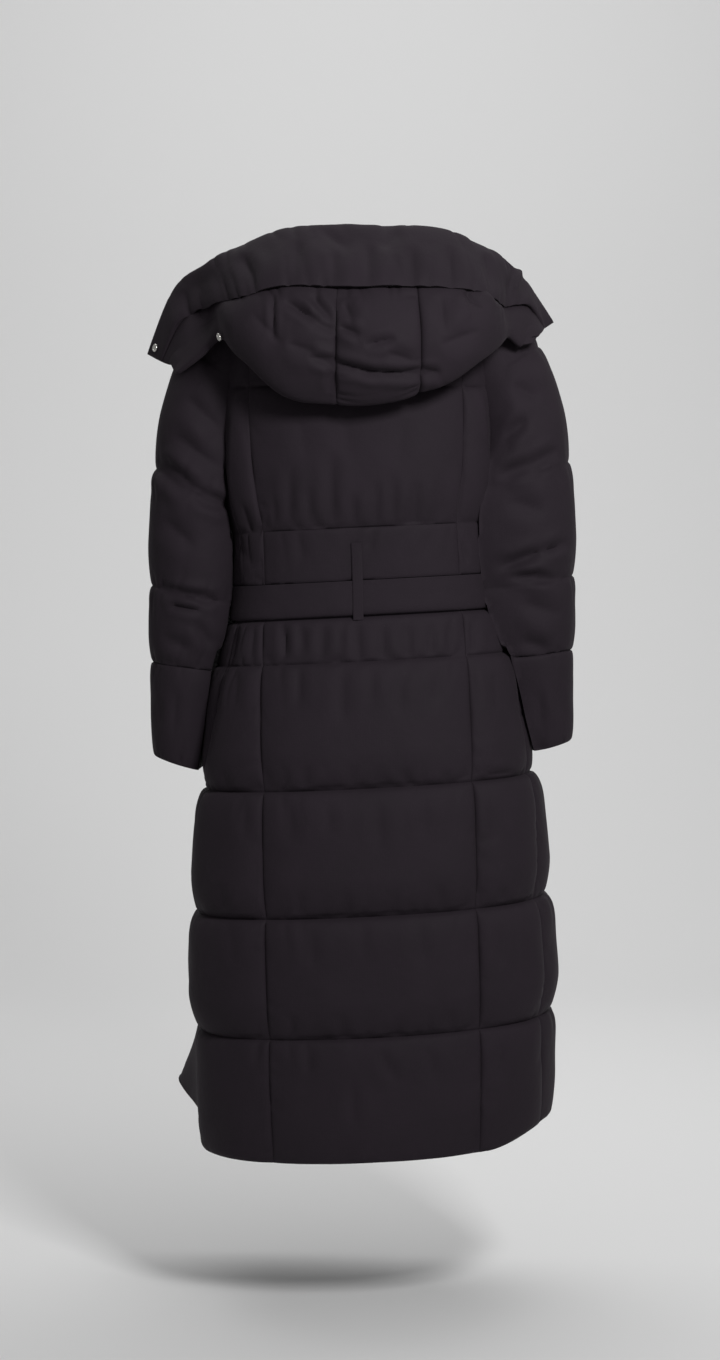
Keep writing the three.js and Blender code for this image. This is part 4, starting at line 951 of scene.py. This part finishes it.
LINING_LINE = 2.0        # lines count from the neck, 0, over rest, fold, belly and seam to the rim, 5
BAG_LINE = 4.0
RIM_LINE = 5.0
LAST_STATION = 10.0      # stations count from the left front edge, 0, to the right one
CROWN_SEAM_LEFT = 4.67
CROWN_SEAM_RIGHT = 5.77
STATION_GAP = 0.002
LINE_GAP = 0.004
print("lines of the hood:", ["neck"] + HOOD_LINES, "stations:", len(HOOD["neck"]))


# %% Points on the hood
ON_SEAM = SEAM_GAP + 0.1     # clear of the piece under it


def hood_surface(stations, lines):
    """Points for a row at each line and a column at each station."""
    neck = np.radians(row_between(HOOD, stations, "neck"))
    on_neck = body_point(np.zeros_like(neck), np.where(neck < 0, neck + 2 * np.pi, neck), 0.0)
    on_neck[:, 2] = ON_SEAM
    drawn = np.stack([on_neck] + [
        np.stack([row_between(HOOD, stations, f"{line}_{axis}") for axis in "xyz"], -1)
        for line in HOOD_LINES
    ])
    last = len(drawn) - 1
    i = np.clip(np.floor(lines).astype(int), 0, last - 1)
    at = lambda k: drawn[np.clip(k, 0, last)]
    t = (lines - i)[:, None, None]
    points = hermite(t, at(i), at(i + 1), (at(i + 1) - at(i - 1)) / 2, (at(i + 2) - at(i)) / 2)
    clearance = (HOOD_CLEARANCE * smoothstep(0, NECK_ROLL, lines))[:, None]
    for height in (height_over_body, lambda p: height_over_sleeve(p, 1), lambda p: height_over_sleeve(p, -1)):
        points = lifted_off(points, height, clearance)
    return points


def hood_normals(points, lines):
    """Outward directions, which stay level at the neckline so that the edge keeps its place."""
    normal = -grid_normals(points)
    for row in np.flatnonzero(lines == 0):
        level = points[row] * np.array([1, 1, 0])
        normal[row] = level / np.linalg.norm(level, axis=-1, keepdims=True)
    return normal


print("rim at the middle:", hood_surface(np.array([5.0]), np.array([RIM_LINE])).round(1))


# %% A hood panel
HOOD_PUFF = 9.0
BRIM_PUFF = 13.0
LINING_PUFF = 2.0
WING_FULLNESS = 0.4      # of the brim, at its two ends
HOOD_PUCKER_DEPTH = 4.0
HOOD_PUCKER_SPACING = 20.0
HOOD_PUCKER_REACH = 30.0
CROWN_PUCKER = 0.8       # the crown's seams pucker less deep, by this share
HOOD_WAVE = 48.0
HOOD_WAVE_SHARE = 1.4
HOOD_LIFT = 0.3
DEEPEST = 1.0            # no crease goes deeper than this into the hood's flat cloth
SHOWS_FROM = (1.6, 2.1)  # lines between which creases begin, since nothing under the bag shows
BRIM_ROLL = 20.0         # the brim's down rolls this far down over the bag, and makes a shadow there
BRIM_ROLL_LINE = 0.08    # most of it this share above the brim's seam
BRIM_ROLL_END = 4
TIP_CALM = 0.27          # pleats and the roll die out towards the front ends, over this share of the length
VALLEY_LEFT = (1.5, 3.0)
VALLEY_RIGHT = (8.4, 7.4)
VALLEY_LINES = (2.2, 3.2)
VALLEY_LOSS = 0.75       # a valley is shallower on the brim, by this share
VALLEY_LOSS_LINES = (4.4, 5.0)
VALLEYS = table("station spread depth", [
    [1.55, 0.5, 13],
    [8.05, 0.4, 8],
])


def valleys(station, line):
    """The cloth sinks beside both ends of the bag, where the wings leave it."""
    depth = smoothstep(*VALLEY_LINES, line) * (1 - VALLEY_LOSS * smoothstep(*VALLEY_LOSS_LINES, line))
    return depth * sum(
        deep * np.exp(-((station - middle) / spread) ** 2) for middle, spread, deep in zip(*VALLEYS.values())
    )


def rolled_down(outer, base, past, amount):
    """Lets the brim hang over its seam; past counts from the seam, in lines."""
    rising = np.gradient(base, axis=0)
    rising /= np.linalg.norm(rising, axis=-1, keepdims=True)
    past = past / BRIM_ROLL_LINE
    roll = BRIM_ROLL * past * np.exp(1 - past) * np.exp(-(past / BRIM_ROLL_END) ** 2)
    return outer - rising * (roll[:, None] * amount)[..., None]


def hood_panel(name, stations, lines, fullness, seed):
    base = hood_surface(stations, lines)
    sunk = valleys(stations[None, :], lines[:, None])
    base = base - hood_normals(base, lines) * sunk[..., None]
    normal = hood_normals(base, lines)
    share = (stations - stations[0]) / (stations[-1] - stations[0])
    widths = np.linalg.norm(np.diff(base, axis=1), axis=2)
    lengths = np.linalg.norm(np.diff(base, axis=0), axis=2).mean(1)
    across = np.concatenate([np.zeros((len(lines), 1)), np.cumsum(widths, axis=1)], 1)
    down = rows_over(np.concatenate([[0], np.cumsum(lengths)]), across)
    side, end = np.minimum(across, across[:, -1:] - across), np.minimum(down, down[-1] - down)
    full = fullness(share[None, :], lines[:, None], stations[None, :])
    lift = full / float(full.max())

    fine = HOOD_PUCKER_DEPTH * pleats(across, end, HOOD_PUCKER_SPACING, HOOD_PUCKER_REACH, seed)
    crown = pleats(down, side, HOOD_PUCKER_SPACING, HOOD_PUCKER_REACH, seed + 9)
    fine += HOOD_PUCKER_DEPTH * CROWN_PUCKER * crown
    fine += SOFT_WAVE * HOOD_WAVE_SHARE * wander(across / HOOD_WAVE, down / HOOD_WAVE, seed + 21)
    from_left, from_right = stations / LAST_STATION, 1 - stations / LAST_STATION
    at_tips = smoothstep(0, TIP_CALM, from_left) * smoothstep(0, TIP_CALM, from_right)
    fine = fine * smoothstep(0, HOOD_LIFT, lift) * at_tips + folds_on(name, base, normal)
    fine *= smoothstep(*SHOWS_FROM, lines)[:, None]
    thick = SHELL + np.maximum(full + fine, -DEEPEST) - seam_bite(np.minimum(side, end))
    outer = base + normal * thick[..., None]
    if name == "hood_brim":
        outer = rolled_down(outer, base, lines - BAG_LINE, at_tips * (full > 0))
    return cushion(name + "_cloth", outer, base)


# %% How full the bag and the brim are
BRIM_ROUND_LINE = 0.22   # the brim is full from this share of its height
BRIM_EDGE_LINE = 0.6     # and rounds off from this one
BRIM_SIDE_FULL = 1.4


def flat_ends(station):
    """The crown lies flat and empty under the wings, so each wing stands over a valley."""
    return smoothstep(*VALLEY_LEFT, station) * smoothstep(*VALLEY_RIGHT, station)


def bag_fullness(share, line, station):
    """The lining's side lies under the bag and is nearly flat."""
    lining = LINING_PUFF * pillow(np.clip(line / LINING_LINE, 0, 1))
    bag = HOOD_PUFF * pillow(np.clip((line - LINING_LINE) / (BAG_LINE - LINING_LINE), 0, 1))
    return pillow(share) * np.where(line <= LINING_LINE, lining, bag * flat_ends(station))


def brim_fullness(share, line, station):
    """The brim fills up fast over its seam and rounds off at its edge; station isn't needed here."""
    on_wing = WING_FULLNESS + (1 - WING_FULLNESS) * np.sin(np.pi * share)
    up = np.clip(line - BAG_LINE, 0, 1)
    rise = np.minimum(up / BRIM_ROUND_LINE, 1)
    fall = np.maximum((up - BRIM_EDGE_LINE) / (1 - BRIM_EDGE_LINE), 0)
    upright = np.minimum(np.sqrt(1 - (1 - rise) ** 2), np.sqrt(np.maximum(1 - fall ** 2, 0)))
    return BRIM_PUFF * on_wing * upright * np.minimum(pillow(share) * BRIM_SIDE_FULL, 1)


print("the bag at its fullest:", round(float(bag_fullness(0.5, 3.0, 5.0)), 1), "mm")


# %% Make the hood
CROWN = [
    ("hood_side_left", 0, CROWN_SEAM_LEFT - STATION_GAP, 150),
    ("hood_centre", CROWN_SEAM_LEFT + STATION_GAP, CROWN_SEAM_RIGHT - STATION_GAP, 44),
    ("hood_side_right", CROWN_SEAM_RIGHT + STATION_GAP, LAST_STATION, 138),
]
BRIM_COLUMNS = 220
BRIM_ROWS_LENGTH = 100.0
under, bag = np.linspace(0, LINING_LINE, 32), np.linspace(LINING_LINE, BAG_LINE - LINE_GAP, 70)
bag_lines = np.concatenate([under[:-1], bag])
for number, (name, start, end, columns) in enumerate(CROWN):
    stations = start + (end - start) * np.linspace(0, 1, columns + 1)
    pieces[name] = hood_panel(name, stations, bag_lines, bag_fullness, 40 * number + 3)
brim_lines = BAG_LINE + LINE_GAP + (RIM_LINE - BAG_LINE - LINE_GAP) * steps(BRIM_ROWS_LENGTH)
brim_stations = np.linspace(0, LAST_STATION, BRIM_COLUMNS + 1)
pieces["hood_brim"] = hood_panel("hood_brim", brim_stations, brim_lines, brim_fullness, 333)
print("hood pieces:", [name for name in pieces if name.startswith("hood")])


# %% [markdown]
# A sleeve is sewn to the edge of an armhole, so neither piece goes on inside the other. Both were made a
# little too long, and now each is trimmed by a filled copy of the other's form, as a cutter trims a seam.

# %% Filled forms
def close_up(bm):
    """Merges doubled points, fills open ends and points every face outwards."""
    bmesh.ops.remove_doubles(bm, verts=bm.verts[:], dist=MERGE)
    bmesh.ops.holes_fill(bm, edges=[edge for edge in bm.edges if edge.is_boundary], sides=0)
    bmesh.ops.recalc_face_normals(bm, faces=bm.faces[:])


def filled_form(name, rings):
    """A solid inside a stack of rings, each closed on itself."""
    rows, columns = rings.shape[0] - 1, rings.shape[1] - 1
    bm = new_grid(rows, columns)
    for vert in bm.verts:
        row, column = place_in_grid(vert.co.x, vert.co.y, rows, columns)
        vert.co = rings[row, column % columns] * MM
    close_up(bm)
    return object_from(bm, name, smooth=False)


def trim(piece, form):
    """Cuts a piece by a form, and makes the result the piece's own mesh."""
    cut = piece.modifiers.new("trim", "BOOLEAN")
    cut.operation = "DIFFERENCE"
    cut.solver = "EXACT"
    cut.object = form
    made = bpy.data.meshes.new_from_object(piece.evaluated_get(bpy.context.evaluated_depsgraph_get()))
    piece.modifiers.clear()
    old, piece.data = piece.data, made
    made.name = piece.name
    bpy.data.meshes.remove(old)


# %% Trim the armholes
ARMHOLE_DEPTH = 1.2      # the sleeve's edge lies this far out of the body's seams
body_rows = np.linspace(0, -700, 90)
body_turn = np.broadcast_to(np.linspace(0, 2 * np.pi, 181), (90, 181))
body_rings = body_point(rows_over(body_rows, body_turn), body_turn, ARMHOLE_DEPTH)
inside_body = filled_form("inside_body", body_rings)
sleeve_rings = np.linspace(0, 6.5, 60)
for sign, word in ((1, "left"), (-1, "right")):
    lining = np.full((len(sleeve_rings), SLEEVE_COLUMNS + 1), -SHELL)
    ring = sleeve_ring(sleeve_rings, sign, lining, SLEEVE_CLEARANCE + SHELL)
    inside_sleeve = filled_form("inside_sleeve", ring)
    for name in ("back_side_" + word, "front_" + word):
        trim(pieces[name], inside_sleeve)
    bpy.data.objects.remove(inside_sleeve)
    trim(pieces["sleeve_" + word], inside_body)
bpy.data.objects.remove(inside_body)
trimmed = ("sleeve_left", "sleeve_right", "front_left")
print("armholes cut:", {name: len(pieces[name].data.polygons) for name in trimmed})


# %% [markdown]
# The belt, its loop and the placket are flat padded strips. Each is again a small grid laid on the body's
# own form, a little further out than what it covers. The belt is one ring, closed plainly in front.

# %% Belt
BELT_ROWS = 12
BELT_COLUMNS = 200
BELT_SLACK = 2.0         # of the height between the two seams is left free
BELT_TUCK = 0.8          # clear gap from the band to the belt's upper edge
BELT_EDGE = 11.0         # the lower edge rounds off over this height
BELT_EDGE_THICK = 2.4
BELT_GROOVE = (0.5, 7.0, 1.2)    # depth of the stitched line, its distance from the edge, and its width
BELT_WAVES = ((0.8, 34, 40, 3, 61), (0.4, 13, 30, 0, 62))    # height, sizes round and up, shift, seed
OVER_PLACKET = (0.3, 0.6)    # radians from the centre front in which the belt comes down from the placket


def round_rim(distance, reach):
    """A quarter round: 0 at the edge and 1 from the reach on."""
    return np.sqrt(np.clip(1 - (1 - np.minimum(distance / reach, 1)) ** 2, 0, 1))


def stitched_line(edge, depth, place, width):
    return depth * np.exp(-((edge - place) / width) ** 2)


def belt():
    height = BELT_TOP - BELT_BOTTOM - BELT_TUCK - BELT_SLACK
    share = steps(height, BELT_ROWS)
    turn = np.linspace(0, 1, BELT_COLUMNS + 1)
    z = BELT_TOP - BELT_TUCK - height * share
    angles, width = even_angles(z, np.zeros_like(z), np.full_like(z, 2 * np.pi), turn)
    from_front = np.abs(np.where(angles > np.pi, angles - 1.5 * np.pi, angles + 0.5 * np.pi))
    seat = BELT_SEAT + (PLACKET_EDGE + SEAM_GAP) * (1 - smoothstep(*OVER_PLACKET, from_front))
    edge = np.minimum(share, 1 - share)[:, None] * height
    rim = round_rim((1 - share)[:, None] * height, BELT_EDGE)
    along = width * turn
    wave = 0
    for high, size_round, size_up, shift, seed in BELT_WAVES:
        wave = wave + high * wander(along / size_round, edge / size_up + shift, seed)
    thick = BELT_EDGE_THICK + (BELT_THICKNESS - BELT_EDGE_THICK) * rim + wave * rim
    heights = rows_over(z, angles)
    outer = body_point(heights, angles, seat + thick - stitched_line(edge, *BELT_GROOVE))
    inner = body_point(heights, angles, seat)
    outer[:, -1], inner[:, -1] = outer[:, 0], inner[:, 0]
    return cushion("belt_cloth", outer, inner, ring=True)


pieces["belt"] = belt()
print("belt:", len(pieces["belt"].data.polygons), "faces")


# %% Belt loop
LOOP_WIDTH = 14.0
LOOP_THICKNESS = 1.1
LOOP_EDGE_THICK = 0.45   # share of that at the two long edges
LOOP_EDGE = 2.0
LOOP_GROOVE = (0.35, 2.6, 0.6)
LOOP_SEAT = 0.4
LOOP_CENTRE = 6.0
LOOP_LENGTH = 49         # rows of its grid
ON_BAND = BODY_PUFF * BAND_FULLNESS + BELT_SEAT
OVER_BELT = BELT_SEAT + BELT_THICKNESS + LOOP_SEAT
LOOP_PATH = table("z out", [
    [-399, ON_BAND],
    [-430, ON_BAND],
    [BELT_TOP + 4, OVER_BELT],
    [BELT_BOTTOM + 4, OVER_BELT],
    [BELT_BOTTOM - 4, OVER_BELT - LOOP_SEAT / 2],
])


def belt_loop():
    position = np.linspace(0, len(LOOP_PATH["z"]) - 1, LOOP_LENGTH)
    z, out = row_between(LOOP_PATH, position, "z"), row_between(LOOP_PATH, position, "out")
    section = body_section(z)
    x = LOOP_CENTRE + LOOP_WIDTH * (steps(30, 10) - 0.5)
    angle = np.arccos(signed_power(x / section["half"][:, None], section["round"][:, None] / 2))
    edge = LOOP_WIDTH / 2 - np.abs(x - LOOP_CENTRE)
    thick = LOOP_THICKNESS * (LOOP_EDGE_THICK + (1 - LOOP_EDGE_THICK) * round_rim(edge, LOOP_EDGE))
    thick = thick - stitched_line(edge, *LOOP_GROOVE)
    heights, seat = rows_over(z, angle), rows_over(out, angle)
    outer = body_point(heights, angle, seat + thick)
    return cushion("belt_loop_cloth", outer, body_point(heights, angle, seat))


pieces["belt_loop"] = belt_loop()
print("belt loop:", len(pieces["belt_loop"].data.polygons), "faces")


# %% Placket
PLACKET_PUFF = 5.0
PLACKET_PUCKER = 1.6
PLACKET_PUCKER_SPACING = 15.0
PLACKET_PUCKER_REACH = 22.0
PLACKET_WAVE = (0.8, 30.0, 45.0)     # height, size across and size along
PLACKET_LIFT = 0.4
PLACKET_BITE = 0.8       # no crease goes deeper than this into its flat edge
CENTRE_FRONT = 1.5 * np.pi


def placket():
    z, full, above, below, _, _ = baffle_rows(0, HEM, 0, 0)
    shares = steps(80, 14)
    angle = CENTRE_FRONT + PLACKET_WIDTH * (shares - 0.5) / arc_speed(z, CENTRE_FRONT)[:, None]
    heights, end = rows_over(z, angle), rows_over(np.minimum(above, below), angle)
    across = np.broadcast_to(PLACKET_WIDTH * shares, angle.shape)
    lift = np.minimum(full, 1)[:, None] * pillow(shares)
    high, size_across, size_along = PLACKET_WAVE
    fine = PLACKET_PUCKER * pleats(across, end, PLACKET_PUCKER_SPACING, PLACKET_PUCKER_REACH, 71)
    fine += high * wander(across / size_across, heights / size_along, 72)
    puff = PLACKET_PUFF * lift + fine * smoothstep(0, PLACKET_LIFT, lift)
    thick = PLACKET_EDGE + np.maximum(puff, -PLACKET_BITE)
    outer = body_point(heights, angle, ON_SEAM + thick)
    return cushion("placket_cloth", outer, body_point(heights, angle, np.full_like(angle, ON_SEAM)))


pieces["placket"] = placket()
print("placket:", len(pieces["placket"].data.polygons), "faces")


# %% [markdown]
# A snap is a small pressed metal cap: a flat face with a raised rim, turned over at its edge. It is a
# short profile spun round its own axis, then stood where the solid snap is.

# %% Snaps
SNAP_PROFILE = [          # radius and height, from the middle of the face round the rim to the back
    (0, 1.5), (2.6, 1.5), (3.3, 1.7), (3.9, 2.35), (4.7, 2.5), (5.4, 2.1), (5.75, 1.2), (5.7, 0.2), (5.2, 0),
]
SNAP_HALF = 1.25
SNAP_STEPS = 40
COAT_MIDDLE = np.array([0.0, 0.05, -0.1])


def snap(name):
    node = frame["nodes"][name]
    points = np.array([tuple(vert.co) for vert in node.data.vertices])
    centre = (points.min(0) + points.max(0)) / 2
    _, _, axes = np.linalg.svd(points - points.mean(0))
    normal = axes[2] * np.sign(axes[2] @ (centre - COAT_MIDDLE))
    bm = bmesh.new()
    profile = [bm.verts.new((radius * MM, 0, (high - SNAP_HALF) * MM)) for radius, high in SNAP_PROFILE]
    edges = [bm.edges.new(pair) for pair in zip(profile, profile[1:])]
    bmesh.ops.spin(bm, geom=profile + edges, cent=(0, 0, 0), axis=(0, 0, 1), angle=2 * math.pi,
                   steps=SNAP_STEPS, use_merge=True)
    close_up(bm)
    turn = Vector((0, 0, 1)).rotation_difference(Vector(normal)).to_matrix()
    bmesh.ops.rotate(bm, verts=bm.verts[:], cent=(0, 0, 0), matrix=turn)
    bmesh.ops.translate(bm, verts=bm.verts[:], vec=Vector(centre))
    return object_from(bm, name + "_cap")


snaps = {name: snap(name) for name in ("snap_wing", "snap_crown")}
print("snaps:", list(snaps))


# %% [markdown]
# The shell is a down-proof polyamide taffeta, dyed a soft black: a plain weave so tight that no feather
# comes through, calendered on the inside and matt outside. To the eye it is nearly even, with a weak
# bloom where it turns away, and tiny crinkles wherever it isn't pulled tight.

# %% Colour and node helpers
def linear(code):
    """An sRGB hex colour as linear values."""
    channels = [int(code[i:i + 2], 16) / 255 for i in (1, 3, 5)]
    return tuple(c / 12.92 if c <= 0.04045 else ((c + 0.055) / 1.055) ** 2.4 for c in channels) + (1.0,)


def add(tree, kind, settings=None, **sockets):
    """Adds a node. A socket is named in its own words with _ for spaces, or i and its number."""
    node = tree.nodes.new(kind)
    for key, value in (settings or {}).items():
        setattr(node, key, value)
    for key, value in sockets.items():
        numbered = key[0] == "i" and key[1:].isdigit()
        slot = node.inputs[int(key[1:]) if numbered else key.replace("_", " ")]
        if isinstance(value, bpy.types.NodeSocket):
            tree.links.new(value, slot)
        else:
            slot.default_value = value
    return node


def new_material(name):
    material = bpy.data.materials.new(name)
    material.use_nodes = True
    material.node_tree.nodes.clear()
    return material, material.node_tree


print("white is", linear("#ffffff"))


# %% Matt taffeta
TAFFETA_BLACK = "#241f24"
TAFFETA_WORN = "#292329"
TAFFETA_BLOOM = "#b9aeb6"
THREAD_MM = 3.553        # real threads are about 0.1 mm apart, drawn coarser so that they show at all
WAVE_BAND = 2 * math.pi / 20     # length of one band in a wave texture of scale 1
CRINKLE_MM = 9.0
CREASE_MM = 26.0
PATCHES = 9.0            # worn patches to a metre


def taffeta(name, base, worn, crinkle):
    material, tree = new_material(name)
    grain = add(tree, "ShaderNodeUVMap", {"uv_map": "grain"}).outputs["UV"]
    place = add(tree, "ShaderNodeTexCoord").outputs["Object"]
    threads = dict(Vector=grain, Scale=WAVE_BAND / (THREAD_MM * MM), Distortion=0.6, Detail=0.0)
    warp = add(tree, "ShaderNodeTexWave", {"bands_direction": "X"}, **threads)
    weft = add(tree, "ShaderNodeTexWave", {"bands_direction": "Y"}, **threads)
    weave = add(tree, "ShaderNodeMath", {"operation": "MULTIPLY"}, i0=warp.outputs["Fac"],
                i1=weft.outputs["Fac"])
    weave_bump = add(tree, "ShaderNodeBump", Strength=0.10, Distance=0.0004, Height=weave.outputs[0])
    fine = add(tree, "ShaderNodeTexNoise", Vector=place, Scale=1 / (CRINKLE_MM * MM), Detail=3.0,
               Roughness=0.55)
    fine_bump = add(tree, "ShaderNodeBump", Strength=crinkle, Distance=0.0012, Height=fine.outputs["Fac"],
                    Normal=weave_bump.outputs["Normal"])
    broad = add(tree, "ShaderNodeTexNoise", {"noise_type": "RIDGED_MULTIFRACTAL"}, Vector=place,
                Scale=1 / (CREASE_MM * MM), Detail=2.0, Roughness=0.5)
    broad_bump = add(tree, "ShaderNodeBump", {"invert": True}, Strength=crinkle, Distance=0.0010,
                     Height=broad.outputs["Fac"], Normal=fine_bump.outputs["Normal"])
    patch = add(tree, "ShaderNodeTexNoise", Vector=place, Scale=PATCHES, Detail=4.0, Roughness=0.6)
    tone = add(tree, "ShaderNodeMapRange", Value=patch.outputs["Fac"], From_Min=0.35, From_Max=0.7,
               To_Min=0.0, To_Max=0.55)
    colour = add(tree, "ShaderNodeMix", {"data_type": "RGBA"}, Factor=tone.outputs["Result"])
    colour.inputs[6].default_value, colour.inputs[7].default_value = linear(base), linear(worn)
    rough = add(tree, "ShaderNodeMapRange", Value=patch.outputs["Fac"], From_Min=0.3, From_Max=0.7,
                To_Min=0.66, To_Max=0.78)
    shader = add(tree, "ShaderNodeBsdfPrincipled", Base_Color=colour.outputs[2],
                 Roughness=rough.outputs["Result"], IOR=1.5, Specular_IOR_Level=0.06, Sheen_Weight=0.04,
                 Sheen_Roughness=0.5, Sheen_Tint=linear(TAFFETA_BLOOM), Normal=broad_bump.outputs["Normal"])
    add(tree, "ShaderNodeOutputMaterial", Surface=shader.outputs["BSDF"])
    return material


shell_cloth = taffeta("matt_polyamide_taffeta", TAFFETA_BLACK, TAFFETA_WORN, crinkle=0.35)
print("cloth colour:", TAFFETA_BLACK)

# %% [markdown]
# The snaps are brass, nickel plated and tumbled: bright, slightly warm grey, with soft small scratches.

# %% Nickel plate
NICKEL = "#d3d1cc"
SCRATCHES = 900.0        # to a metre


def nickel():
    material, tree = new_material("nickel_plated_brass")
    place = add(tree, "ShaderNodeTexCoord").outputs["Object"]
    scratch = add(tree, "ShaderNodeTexNoise", Vector=place, Scale=SCRATCHES, Detail=3.0)
    rough = add(tree, "ShaderNodeMapRange", Value=scratch.outputs["Fac"], To_Min=0.18, To_Max=0.38)
    bump = add(tree, "ShaderNodeBump", Strength=0.15, Distance=0.0002, Height=scratch.outputs["Fac"])
    shader = add(tree, "ShaderNodeBsdfPrincipled", Base_Color=linear(NICKEL), Metallic=1.0,
                 Roughness=rough.outputs["Result"], Normal=bump.outputs["Normal"])
    add(tree, "ShaderNodeOutputMaterial", Surface=shader.outputs["BSDF"])
    return material


snap_metal = nickel()
print("snap colour:", NICKEL)

# %% Finish and seat every piece
for name, piece in pieces.items():
    piece.data.materials.clear()
    piece.data.materials.append(shell_cloth)
    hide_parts(name)
    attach(piece, "root")
for name, piece in snaps.items():
    piece.data.materials.append(snap_metal)
    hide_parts(name)
    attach(piece, "root")
print("dressed pieces:", len(pieces) + len(snaps))

# %% [markdown]
# The camera stands over three and a half metres behind the coat, at the photograph's viewing angle. The
# studio is a pale floor that bends up into a backdrop. One soft light shines from the right, above the
# camera, and a broad one is aimed at the backdrop.

# %% Camera
PICTURE_HEIGHT = 1360
FOCAL_PIXELS = 2535.2
SENSOR_HEIGHT = 36.0
CAMERA_PLACE = (0.00284, 3.6, -0.423)
CAMERA_DOWN = 2.71       # degrees
camera_data = bpy.data.cameras.new("camera")
camera = bpy.data.objects.new("camera", camera_data)
bpy.context.scene.collection.objects.link(camera)
camera.location = CAMERA_PLACE
camera.rotation_euler = (math.radians(90 - CAMERA_DOWN), 0, math.radians(180))
camera_data.sensor_fit = "VERTICAL"
camera_data.sensor_height = SENSOR_HEIGHT
camera_data.lens = FOCAL_PIXELS / PICTURE_HEIGHT * SENSOR_HEIGHT
camera_data.clip_end = 60
bpy.context.scene.camera = camera
print("lens:", round(camera_data.lens, 1), "mm")


# %% Floor and backdrop
FLOOR_BELOW_NECK = 1.475
FLOOR_REACH = 9.0
BACKDROP_BEHIND = 4.5    # beyond the coat, as the camera sees it
BACKDROP_BEND = 2.0
BACKDROP_HEIGHT = 7.0
PAPER = "#dadada"


def studio():
    """A pale floor that bends up into a backdrop, so that no edge shows behind the coat."""
    bend = BACKDROP_BEND - BACKDROP_BEHIND
    profile = [(FLOOR_REACH, 0.0), (bend, 0.0)]
    for turn in np.linspace(0, math.pi / 2, 16)[1:]:
        profile.append((bend - BACKDROP_BEND * math.sin(turn), BACKDROP_BEND * (1 - math.cos(turn))))
    profile.append((-BACKDROP_BEHIND, BACKDROP_HEIGHT))
    bm = bmesh.new()
    line = [bm.verts.new((-FLOOR_REACH, y, z - FLOOR_BELOW_NECK)) for y, z in profile]
    edges = [bm.edges.new(pair) for pair in zip(line, line[1:])]
    made = bmesh.ops.extrude_edge_only(bm, edges=edges)
    far = [item for item in made["geom"] if isinstance(item, bmesh.types.BMVert)]
    bmesh.ops.translate(bm, verts=far, vec=(2 * FLOOR_REACH, 0, 0))
    bmesh.ops.recalc_face_normals(bm, faces=bm.faces[:])
    floor = object_from(bm, "floor")
    material, tree = new_material("pale_paper")
    shader = add(tree, "ShaderNodeBsdfPrincipled", Base_Color=linear(PAPER), Roughness=1.0,
                 Specular_IOR_Level=0.0)
    add(tree, "ShaderNodeOutputMaterial", Surface=shader.outputs["BSDF"])
    floor.data.materials.append(material)
    return floor


print("floor:", len(studio().data.polygons), "faces")


# %% Lights
WORLD_STRENGTH = 0.3


def soft_light(name, place, power, size, aim):
    data = bpy.data.lights.new(name, "AREA")
    data.energy, data.size = power, size
    light = bpy.data.objects.new(name, data)
    bpy.context.scene.collection.objects.link(light)
    light.location = place
    light.rotation_euler = (Vector(aim) - Vector(place)).to_track_quat("-Z", "Y").to_euler()


soft_light("key", (-0.75, 1.75, 0.5), 38, 0.45, aim=(0, 0.1, -0.2))
soft_light("backdrop_wash", (0, -1.2, 1.9), 84, 3.0, aim=(0, -3.6, -0.4))
world = bpy.data.worlds.new("studio")
world.use_nodes = True
background = world.node_tree.nodes["Background"]
background.inputs["Color"].default_value = linear("#ffffff")
background.inputs["Strength"].default_value = WORLD_STRENGTH
bpy.context.scene.world = world
bpy.context.scene.view_settings.view_transform = "Standard"
